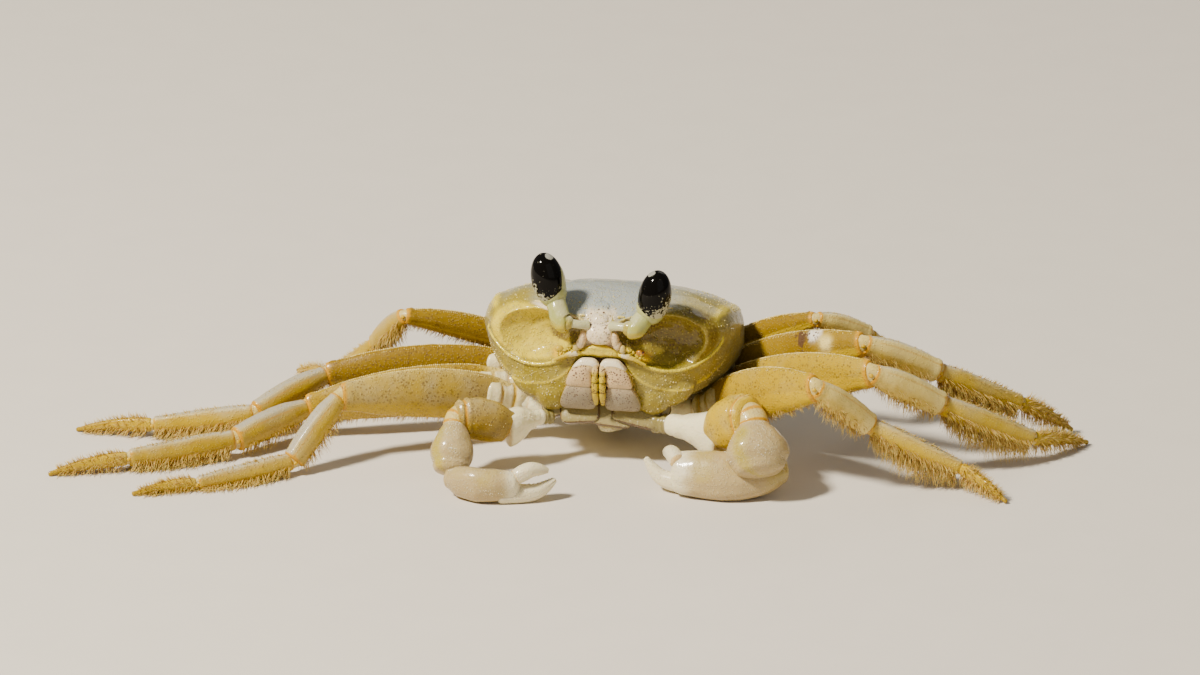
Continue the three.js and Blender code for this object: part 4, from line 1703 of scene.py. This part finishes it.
    def _work_over(self, form: Form) -> None:
        """Moves the skin into rims, ridges, grooves and lumps, and sets its masks."""
        bm = form.bm
        bm.normal_update()
        layers = form.mask_layers(bm)
        moves = []
        for vert in bm.verts:
            lift, values = self._skin(vert.co, vert.normal)
            moves.append((vert, vert.normal * lift))
            form.brush(vert, layers, values)
        for vert, move in moves:
            vert.co += move

    def _skin(self, place: Vector, normal: Vector) -> tuple[float, Masks]:
        """The relief in millimetres and the mask values of a place on the shell."""
        x, y, z = abs(place.x), place.y, place.z
        facing = ease(-normal.y, 0.1, 0.7)
        upper = ease(normal.z, 0.15, 0.75)
        near = 1 - ease(y, -14.8, -12.8)
        out = self._orbit_distance(place)
        stalk = self._hollow_distance(place)
        edge = min(out, mix(out, stalk, ease(9.0 - x, 0.0, 2.0)))
        rim = 0.8 * hump(edge, 1.05, 0.04) * near
        inner_rim = 0.5 * hump(out, 1.20, 0.04) * near * ease(z, 24.0, 25.5)
        inside = (1 - ease(edge, 0.88, 1.0)) * ease(-y, 10.5, 12.0)
        ridge_height = self.back_height(x, y) - 1.7
        ridge = hump(z, ridge_height, 0.55) * ease(x, 16.6, 18.4) * (1 - ease(y, 4.0, 10.0)) * (1 - inside)
        cheek = facing * (1 - ease(z, 17.4, 18.4)) * (1 - inside) * ease(x, 4.5, 6.0)
        arc = hump(self._arc_distance(x, z), 1.0, 0.03) * (1 - ease(z, 17.0, 18.5)) * facing
        flank = ease(abs(normal.x), 0.35, 0.8) * (1 - upper)
        side_groove = hump(x, 7.0 + 0.03 * (y + 2) ** 2, 0.8) * ease(y, -9, -5) * (1 - ease(y, 5, 9))
        cross_groove = hump(y, 2.0 - 0.03 * x * x, 0.8) * (1 - ease(x, 6.5, 8.0))
        frontal = hump(x, 0.0, 0.55) * hump(y, -14.5, 2.5)
        grooves = (0.26 * side_groove + 0.22 * cross_groove + 0.22 * frontal) * upper
        rostral = (1 - ease(x, 1.9, 2.6)) * (1 - ease(z, 25.0, 27.2)) * ease(z, 20.6, 21.2) * near
        rostral_rim = hump(x, 2.15, 0.28) * ease(z, 21.6, 22.6) * (1 - ease(z, 25.2, 26.2)) * near
        lift = 0.50 * rim + 0.30 * inner_rim + 0.28 * ridge + 0.12 * arc + 0.22 * rostral_rim - grooves
        lift += 0.07 * grain(place, 1.1) + 0.10 * grain(place, 3.5)
        lift += inside * (0.26 * grain(place, 2.3) + 0.06 * grain(place, 0.9))
        middle = 1 - ease(x, 5.5, 15.5)
        lower_mouth = (1 - ease(x, 3.8, 4.6)) * ease(z, 18.9, 19.3) * (1 - ease(z, 21.0, 21.4)) * near
        # painted shade: the recess behind the mouth plates is painted solid dark
        recess = (1 - ease(x, 5.2, 6.2)) * (1 - ease(z, 18.9, 19.4)) * (1 - ease(-y, 16.9, 17.4))
        recess *= near * ease(-y, 15.0, 15.8)
        behind = ease(y, -13.0, -2.0)
        sides = mix(0.88, 0.55 + 0.5 * grain(place, 4.0), behind * upper)
        warm = mix(sides, 0.06 + 0.2 * behind, middle * upper * ease(z, 18.0, 24.0 - 4 * behind))
        warm = mix(warm, 0.60, flank * 0.8)
        warm = mix(warm, 1.0, inside)
        warm = mix(warm, 0.15, rostral)
        warm = mix(warm, 0.75, lower_mouth)
        pale = 0.95 * rim + 0.8 * inner_rim + 0.75 * ridge + 0.45 * arc + 0.16 * cheek + 0.16 * flank
        pale += 0.10 * rostral + 0.5 * rostral_rim + 0.55 * lower_mouth
        # painted light: the crab's right orbit (-X) is painted paler, as if sunlit, and the back of its left
        # orbit darker, as if shaded by its rim and eye, over the orbits' own yellow and olive
        side = 1.0 if place.x > 0 else 0.15
        painted_orbit_light = inside * (0.15 if place.x > 0 else 0.62)
        blush = (1 - ease(x, 1.8, 3.4)) * (1 - ease(z, 25.8, 28.0)) * ease(z, 20.0, 21.0) * near
        # paler cream along the tops of the orbit rims, stronger on the crab's right: partly the rims' own
        # ivory, partly a painted highlight where the light falls
        brow = hump(edge, 0.99, 0.07) * ease(z, 23.0, 25.5) * near * (1.0 if place.x < 0 else 0.5)
        deep = inside * ease(y, -16.0, -13.0) * side
        # painted shade in the hollow under the eyestalk
        deep += 0.9 * inside * (1 - ease(stalk, 0.9, 1.05)) * ease(9.5 - x, 0, 2)
        pocket = hump(x, 7.0, 1.5) * hump(z, 18.9, 1.0) * near * (1 - ease(-y, 17.6, 18.2))
        # painted shade: darker low on the cheeks, more on the crab's right
        low = facing * (1 - ease(z, 10.5, 14.0)) * (1.0 if place.x < 0 else 0.5)
        mottled = behind * upper * ease(grain(place, 2.2), 0.1, 0.6)
        return lift, {
            "warm": warm,
            "pale": (pale + painted_orbit_light) * (1 - 0.8 * clamp(deep)) * (1 - 0.7 * pocket),
            "deep": 0.8 * deep * (1 - pocket) + 0.15 * flank + 0.4 * low + 0.3 * mottled,
            "dark": 0.34 * clamp(deep) + 0.12 * inside + 0.22 * rostral + recess,
            "orange": 0.75 * pocket,
            "blush": 0.7 * blush + 0.8 * brow,
        }

    def _granules(self, form: Form) -> None:
        """Adds pale granules to the cheeks, the rims and the sides of the back."""
        rng = random.Random(5)
        verts = form.bm.verts[:]
        places = []
        for vert in rng.sample(verts, min(len(verts), 14000)):
            place = vert.co
            x = abs(place.x)
            out = self._orbit_distance(place)
            cheek = vert.normal.y < -0.35 and 9.5 < place.z < 17.8 and x > 6.5 and out > 1.10
            rim = abs(out - 1.06) < 0.04 and place.y < -13.5 and place.z < 20
            back = vert.normal.z > 0.45 and place.y < 6
            rostral = x < 2.3 and 21.0 < place.z < 26.5 and place.y < -14
            strewn = ((cheek, 0.24), (rim, 0.34), (rostral, 0.20), (back, 0.16 * ease(x, 8, 17)))
            chance = next((share for region, share in strewn if region), 0.0)
            arc = abs(self._arc_distance(x, place.z) - 1) < 0.03
            if cheek and arc:
                chance = 0.6
            if back and x < 9 and place.y < -12:
                chance = 0.12
            if rng.random() < chance:
                places.append((place.copy(), rng.uniform(0.07, 0.17)))
        form.beads(places, {"pale": 0.55, "blush": 0.4, "warm": 0.5})


@dataclass
class Thorax:
    """The underside: breast plates with their seams, leg sockets and the folded tail flap."""

    depth: tuple[float, ...] = (6.6, 4.4, 3.6, 4.2, 7.0)

    def build(self, shop: Workshop) -> None:
        """Builds the breast plates with the leg sockets, and the tail flap."""
        form = Form()
        shell = Carapace()

        def shape(unit: Vector) -> Vector:
            rearward, upward = (unit.y + 1) / 2, (unit.z + 1) / 2
            y = mix(-14.6, 13, rearward)
            x = unit.x * along((8.5, 12, 13, 12.5, 9), rearward) * mix(0.75, 1, upward)
            z = mix(along(self.depth, rearward), shell.underside_height(y) + 0.6, upward)
            seam = 0.0
            for centre in (-11.0, -6.8, -2.6, 1.6, 5.8):
                seam += hump(y + 0.10 * abs(x), centre, 0.35)
            middle = hump(x, 0, 0.4)
            low = 1 - ease(upward, 0.1, 0.5)
            return Vector((x, y, z + 0.4 * (seam + middle) * low))

        def paint(place: Vector) -> Masks:
            return {"warm": 0.25 + 0.5 * ease(abs(place.x), 7, 12), "pale": 0.7}

        form.pillow(34, shape, paint, 3.5)
        for sign in (-1, 1):
            for number, (x, y, z) in enumerate(HIPS):
                self._socket(form, Vector((sign * 9, y, z - 1)), Vector((sign * (x + 0.4), y, z)), number)
        for leg in walking_legs():
            leg.add_base(form)
        self._front_plates(form)
        shop.skin(form, "thorax", UNDER_SHELL, "pale_shell")
        self._tail(shop)

    def _socket(self, form: Form, inner: Vector, outer: Vector, number: int) -> None:
        """Adds one leg socket: a short ringed barrel."""
        size = 2.15 - 0.1 * number
        row = (1.0, 1.05, 1.0, 0.98, 0.9)

        def paint(at: Spot) -> Masks:
            return {"pale": 0.75, "warm": 0.35, "orange": 0.55 * hump(at.share, 0.72, 0.05)}

        def relief(at: Spot) -> float:
            return -0.25 * hump(at.share, 0.72, 0.05)

        section = Section(size, size, row, row, 2.0, 0.0, 0.3)
        form.sweep(arch(inner, outer, 0.0, 1.0), section, Detail.PLAIN, paint, relief)

    def _front_plates(self, form: Form) -> None:
        """Adds the breast plates that show under the mouth, with dark seams between them."""
        plates = (
            ((-3.6, -14.9, 9.1), (3.3, 0.9, 2.4), -6, 0.0),
            ((5.6, -14.9, 9.0), (4.0, 0.9, 2.3), 12, 0.0),
            ((1.4, -15.0, 8.35), (3.6, 0.7, 1.9), 5, 0.1),
            ((-7.8, -14.0, 9.1), (2.2, 0.8, 1.9), -20, 0.1),
            ((8.6, -14.0, 9.1), (2.2, 0.8, 1.9), 24, 0.1),
        )
        for plate in plates:
            self._front_plate(form, *plate)

    def _front_plate(self, form: Form, place: Triple, size: Triple, lean: float, pink: float) -> None:
        """Adds one breast plate under the mouth.

        Args:
            form: the form to add to.
            place: its middle.
            size: its half sizes.
            lean: its lean to the side, in degrees.
            pink: how pink it is, from 0 to 1.
        """
        centre = Vector(place)
        turn = tilt(lean) @ tilt(-34, "X")

        def paint(spot: Vector) -> Masks:
            local = turn.inverted() @ (spot - centre)
            border = max(abs(local.x) / size[0], abs(local.z) / size[2])
            # the deep mask here is painted shade under the mouth, less on the pinker plates
            return {"pale": 0.10, "deep": 0.75 - pink, "blush": pink, "dark": 0.96 * ease(border, 0.82, 0.90)}

        form.pillow(14, egg(centre, size, turn), paint, 4.5)

    def _tail(self, shop: Workshop) -> None:
        """Builds the tail flap, seven plates folded under the breast."""
        points = [Vector((0, -10.4, 4.2)), Vector((0, -4, 2.6)), Vector((0, 4, 2.6)), Vector((0, 10.5, 4.4))]
        section = Section(0.55, 3.6, (1, 1, 1, 1), (0.3, 0.6, 0.75, 0.9, 1.0), 2.6, 0.0, 0.8)

        def relief(at: Spot) -> float:
            plates = (at.share * 7) % 1.0
            return -0.16 * hump(plates, 0.0, 0.09) - 0.16 * hump(plates, 1.0, 0.09)

        def paint(at: Spot) -> Masks:
            plates = (at.share * 7) % 1.0
            seams = hump(plates, 0.0, 0.06) + hump(plates, 1.0, 0.06)
            return {"pale": 0.75, "warm": 0.2, "dark": 0.5 * seams}

        form = Form()
        form.sweep(route(points), section, Detail.FINE, paint, relief)
        shop.skin(form, "pleon", UNDER_SHELL, "pale_shell")


DARKEST = 0.82  # the mouth plates' strongest speckling short of solid brown


@dataclass
class Mouth:
    """The outer mouthparts: two large hinged plates with palps, and the feelers above them."""

    def build(self, shop: Workshop) -> None:
        """Builds both sides' mouthparts and feelers."""
        for side in Side:
            self._maxilliped(shop, side)
            self._antenna(shop, side)

    def _plate(
        self,
        form: Form,
        hand: int,
        inner: Sequence[float],
        outer: Sequence[float],
        heights: Pair,
        front: Pair,
        paint: Callable[[Vector], Masks],
    ) -> None:
        """Adds one thick rounded plate facing forward.

        Args:
            form: the form to add to.
            hand: 1 for the left side, -1 for the right.
            inner: how far out its inner edge is at equal steps from bottom to top, in millimetres.
            outer: the same for its outer edge.
            heights: heights of its bottom and top.
            front: how far forward its bottom and top are.
            paint: mask values from a point of the unit box.
        """
        bm = form.blank()
        layers = form.mask_layers(bm)
        rounded_box(bm, 22, 6.0)
        for vert in bm.verts:
            unit = vert.co.copy()
            upward = (unit.z + 1) / 2
            across = mix(along(inner, upward), along(outer, upward), (hand * unit.x + 1) / 2)
            bulge = 0.55 * (1 - unit.x**2) * (1 - unit.z**2) * (1 if unit.y < 0 else 0)
            round_top = 0.55 * abs(unit.x) ** 3 * max(0.0, unit.z)
            form.brush(vert, layers, paint(Vector((hand * unit.x, unit.y, unit.z))))
            depth = mix(*front, upward) + 0.75 * unit.y - bulge
            vert.co = Vector((hand * across, depth, mix(*heights, upward) - round_top))
        form.absorb(bm)

    def _maxilliped(self, shop: Workshop, side: Side) -> None:
        """Builds one outer mouthpart."""
        s = side.value
        form = Form()

        def upper_paint(unit: Vector) -> Masks:
            arched = unit.z + 0.25 * unit.x**2
            top, line = ease(arched, 0.62, 0.74), hump(arched, 0.60, 0.05)
            border = ease(max(abs(unit.x), abs(unit.z)), 0.90, 0.98)
            return {
                "pale": 0.05 + 0.95 * top,
                "warm": 0.7 * border + 0.9 * line,
                "blush": 0.78 * (1 - top) * (1 - 0.8 * border) - 0.3 * line,
                "dark": min(0.8 * (1 - top) * hump(unit.z, 0.15, 0.6) + 0.4 * line + 0.1, DARKEST),
            }

        # painted shade: the lower plates darken towards the bottom
        def lower_paint(unit: Vector) -> Masks:
            border = ease(max(abs(unit.x), abs(unit.z)), 0.92, 0.99)
            lines = 0.4 * ease(-unit.z, 0.9, 0.99)
            return {
                "deep": 0.16 - 0.18 * unit.z,
                "blush": 0.42 * ease(unit.z, -0.4, 0.9),
                "warm": 0.4 * border,
                "dark": min(0.45 + lines, DARKEST),
            }

        inner, outer = (0.75, 0.7, 0.9, 1.0), (6.6, 6.5, 6.0, 5.5)
        self._plate(form, s, inner, outer, (9.8, 14.75), (-16.3, -17.8), lower_paint)
        inner, outer = (1.0, 1.05, 1.1, 1.0, 0.12, 0.10), (5.6, 5.4, 5.1, 4.7, 4.2, 3.7)
        self._plate(form, s, inner, outer, (14.2, 19.1), (-17.9, -18.2), upper_paint)
        places = ((0.62, -18.6, 18.0), (0.60, -18.9, 16.4), (0.58, -18.8, 13.8), (0.52, -17.9, 11.4))
        path = route([Vector((s * x, y, z)) for x, y, z in places])
        section = Section(0.55, 0.54, (0.95, 1.0, 1.0, 1.0, 0.7), (0.9, 1.0, 1.0, 1.0, 0.6), 2.6, 0.0, 0.9)

        def paint(at: Spot) -> Masks:
            joint = hump(at.share, 0.33, 0.025) + hump(at.share, 0.68, 0.025)
            top = 1 - ease(at.share, 0.15, 0.35)
            return {"warm": 1.0, "blush": 0.6 * top, "pale": 0.2 * top, "dark": 0.62 + 0.4 * joint}

        def relief(at: Spot) -> float:
            return -0.16 * (hump(at.share, 0.33, 0.03) + hump(at.share, 0.68, 0.03))

        form.sweep(path, section, Detail.MEDIUM, paint, relief)
        shop.skin(form, f"maxilliped_{side.label}", MOUTH_SHELL, "pale_shell")
        self._mouth_hairs(shop, side)

    def _mouth_hairs(self, shop: Workshop, side: Side) -> None:
        """Adds the short hairs along the outer edge of a mouthpart."""
        s = side.value
        coat = BristleCoat(40 + s)
        rng = coat.random
        for _number in range(70):
            share = rng.random()
            root = Vector((s * mix(4.9, 6.1, share), -18.1 + 1.7 * share, mix(17.0, 10.6, share)))
            aim = Vector((s * rng.uniform(0.3, 1.0), -0.7, rng.uniform(-0.8, 0.1)))
            coat.plant(root, aim, rng.uniform(0.4, 1.0), (0.1 + 0.8 * share, 0.5), 0.028)
        shop.finish(coat.close(), f"maxilliped_{side.label}_hairs", BRISTLE, "pale_shell", keep_map=True)

    def _antenna(self, shop: Workshop, side: Side) -> None:
        """Builds the small feelers of one side: the folded inner one and the short outer one."""
        s = side.value
        form = Form()
        pink = {"blush": 0.75, "pale": 0.95, "warm": 0.1, "orange": 0.1, "dark": 0.25}
        pad = Matrix.Rotation(-s * 0.20, 3, "Y")
        form.ball(Vector((s * 2.70 - 0.1, -18.0, 22.2)), (0.68, 0.85, 1.55), pink, pad, 12)
        form.ball(Vector((s * 3.0 - 0.1, -18.0, 21.5)), (0.72, 0.8, 0.85), pink, cuts=10)
        stem = {"pale": 0.35, "warm": 0.7, "orange": 0.25}
        form.ball(Vector((s * 3.75, -18.1, 20.9)), (0.55, 0.6, 0.7), stem, cuts=8)
        rng = random.Random(21 + s)
        granules = []
        for _number in range(60):
            share = rng.random()
            height = mix(20.6, 20.3, share) - 1.1 * share**2
            middle = Vector((s * mix(3.3, 6.9, share), mix(-17.9, -17.6, share), height))
            aside, forward = rng.uniform(-0.5, 0.5), rng.uniform(-0.5, 0.2)
            offset = Vector((aside, forward, rng.uniform(-0.55, 0.55) * (1 + share)))
            granules.append((middle + offset * 0.8, rng.uniform(0.14, 0.34)))
        form.beads(granules, {"pale": 0.1, "warm": 1.0})
        orange, dark = (0.8, 0.84) if side is Side.LEFT else (0.35, 0.0)
        knob = {"orange": orange, "warm": 1.0, "dark": dark}
        form.ball(Vector((s * 6.6, -17.7, 20.3)), (0.75, 0.5, 0.55), knob, cuts=8)
        places = ((3.8, -17.9, 19.9), (5.6, -18.1, 19.3), (7.4, -17.9, 18.4))
        path = route([Vector((s * x, y, z)) for x, y, z in places])
        row = (1.0, 0.9, 0.65, 0.5, 0.35)

        def paint(at: Spot) -> Masks:
            return {"warm": 1.0, "pale": 0.7 - at.share}

        def relief(at: Spot) -> float:
            return 0.03 * math.sin(at.share * 90)

        form.sweep(path, Section(0.55, 0.5, row, row, 2.0, 0.0, 0.6), Detail.MEDIUM, paint, relief)
        shop.skin(form, f"antenna_{side.label}", MOUTH_SHELL, "feeler")


@dataclass
class Eye:
    """One eye: a stalk that leaves the rostrum sideways and bends up into an upright black cornea."""

    side: Side
    centre: Vector
    lean: float
    band: float
    foot: Vector
    across: float = 2.65
    deep: float = 2.75
    high: float = 4.45

    def build(self, shop: Workshop) -> None:
        """Builds the cornea and the stalk."""
        turn = tilt(self.lean)
        self._cornea(shop, turn)
        self._stalk(shop, turn)

    def _cornea(self, shop: Workshop, turn: Matrix) -> None:
        """Builds the black cornea, mottled low down and on its outer side."""
        s = self.side.value

        def paint(place: Vector) -> Masks:
            local = turn.inverted() @ (place - self.centre)
            outer = max(0.0, s * local.x / self.across)
            patch = hump(local.z, 3.9, 0.6) * hump(local.x, -s * 1.2, 0.8) * ease(local.y, -1.6, -0.6)
            return {"pale": 1 - ease(local.z - 3.0 * outer, -4.5, 0.2), "warm": 1.2 * patch}

        form = Form()
        form.pillow(30, egg(self.centre, (self.across, self.deep, self.high), turn), paint)
        shop.skin(form, f"cornea_{self.side.label}", CORNEA, "cornea")

    def _stalk(self, shop: Workshop, turn: Matrix) -> None:
        """Builds the thin root, the thick stalk, and the cup that holds the cornea."""
        s = self.side.value
        root = route([Vector((s * 2.0, -18.0, 24.7)), Vector((s * 3.2, -18.7, 24.95)), self.foot + UP * 0.1])
        thin = Section(0.85, 0.85, (1.0, 0.8, 0.9), (1.0, 0.8, 0.9), 2.0, 0.0, 0.4)
        top = self.centre + turn @ Vector((-s * 0.5, 0.2, -2.6))
        path = route([self.foot, self.foot.lerp(top, 0.25) + Vector((s * 0.5, -0.3, -0.5)), top])
        row = (0.84, 1.12, 1.16, 1.14, 1.30)
        thick = Section(1.45, 1.45, row, row, 2.0, 0.0, 0.8)

        def root_paint(at: Spot) -> Masks:
            far = ease(at.share, 0.7, 1.0)
            return {"pale": 1.0 - 0.8 * far, "warm": 0.5, "deep": far}

        def paint(at: Spot) -> Masks:
            lower = hump(at.turn, 0.75, 0.24)
            low = 1 - ease(at.share, 0.25, 0.75)
            return {
                "warm": 1.1 * lower * low + 0.35 * low + 0.4 * grain(at.place, 1.5),
                "pale": 0.15 + 0.55 * hump(at.turn, 0.25, 0.12) - 0.3 * lower,
                "orange": 0.3 * hump(at.share, 0.0, 0.04),
                "deep": 0.8 * hump(at.share, 0.0, 0.06) + 0.4 * lower * low,
            }

        def relief(at: Spot) -> float:
            return 0.14 * grain(at.place, 1.5) - 0.12 * hump(at.share, 0.80, 0.06)

        form = Form()
        form.sweep(root, thin, Detail.MEDIUM, root_paint)
        form.sweep(path, thick, Detail.FINE, paint, relief)
        cup = self.centre + turn @ Vector((-s * 0.2, 0.15, -2.0))
        form.ball(cup, (2.42, 2.4, 2.85), {"pale": 0.35, "warm": 0.15}, turn, 20)
        band = self.centre + turn @ Vector((-s * self.band, 0.15, -0.4))
        size = (self.across * 0.8, self.deep * 0.8, self.high * 0.88)
        form.ball(band, size, {"pale": 0.45}, turn, 22)
        shop.skin(form, f"eyestalk_{self.side.label}", STALK_SHELL, "eyestalk")


# ---- Studio ----


@dataclass
class Studio:
    """Camera, lights and floor."""

    azimuth: float = 9.0
    elevation: float = 20.0
    lens: float = 200.0
    distance: float = 1066.7
    look_at: Vector = field(default_factory=lambda: Vector((0, -17.5, 22.5)))

    def set_camera(self, shop: Workshop) -> None:
        """Places the camera."""
        turn, lift = math.radians(self.azimuth), math.radians(self.elevation)
        back = Vector((math.sin(turn) * math.cos(lift), -math.cos(turn) * math.cos(lift), math.sin(lift)))
        data = bpy.data.cameras.new("camera")
        data.lens = self.lens
        data.sensor_width = 36.0
        data.clip_end = 20.0
        camera = put("camera", data)
        camera.location = shop.placed(self.look_at + back * self.distance)
        camera.rotation_euler = back.to_track_quat("Z", "Y").to_euler()
        bpy.context.scene.camera = camera

    def _area(self, name: str, place: Vector, size: float, power: float, colour: Colour) -> None:
        """Adds a square soft light that faces the crab."""
        data = bpy.data.lights.new(name, "AREA")
        data.size = size
        data.energy = power
        data.color = colour
        light = put(name, data)
        light.location = place
        light.rotation_euler = place.to_track_quat("Z", "Y").to_euler()

    def light(self) -> None:
        """Adds the lights and the pale surroundings."""
        self._area("key", Vector((-0.54, -0.46, 0.82)), 0.13, 27.0, (1.0, 0.93, 0.81))
        self._area("fill", Vector((0.9, -0.9, 0.7)), 1.2, 2.0, (1.0, 0.98, 0.95))
        self._area("rim", Vector((0.25, 0.85, 0.65)), 0.6, 2.0, (1.0, 0.96, 0.88))
        world = bpy.data.worlds.new("surroundings")
        world.use_nodes = True
        world.node_tree.nodes["Background"].inputs[0].default_value = (0.84, 0.85, 0.86, 1.0)
        world.node_tree.nodes["Background"].inputs[1].default_value = 0.22
        bpy.context.scene.world = world

    def floor(self, shop: Workshop) -> None:
        """Adds the pale floor."""
        bm = bmesh.new()
        bmesh.ops.create_grid(bm, x_segments=1, y_segments=1, size=3.0)
        mesh = pour(bm, "floor")
        mesh.materials.append(shop.material(FloorFinish()))
        put("floor", mesh)


def main() -> None:
    """Builds the crab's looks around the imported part."""
    logging.basicConfig(level=logging.INFO, format="%(name)s: %(message)s")
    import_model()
    low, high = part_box("cornea_left")
    shop = Workshop((low + high) / 2 / MM - CORNEA_LEFT)
    studio = Studio()
    studio.set_camera(shop)
    studio.floor(shop)
    studio.light()
    Carapace().build(shop)
    Thorax().build(shop)
    Mouth().build(shop)
    Eye(Side.LEFT, CORNEA_LEFT, 10, 0.45, Vector((4.8, -19.0, 24.8))).build(shop)
    Eye(Side.RIGHT, Vector((-8.6, -16.6, 31.6)), -12, 0.66, Vector((-5.0, -19.0, 25.2))).build(shop)
    for claw in claws():
        claw.build(shop)
    for leg in walking_legs():
        leg.build(shop)


if __name__ == "__main__":
    main()
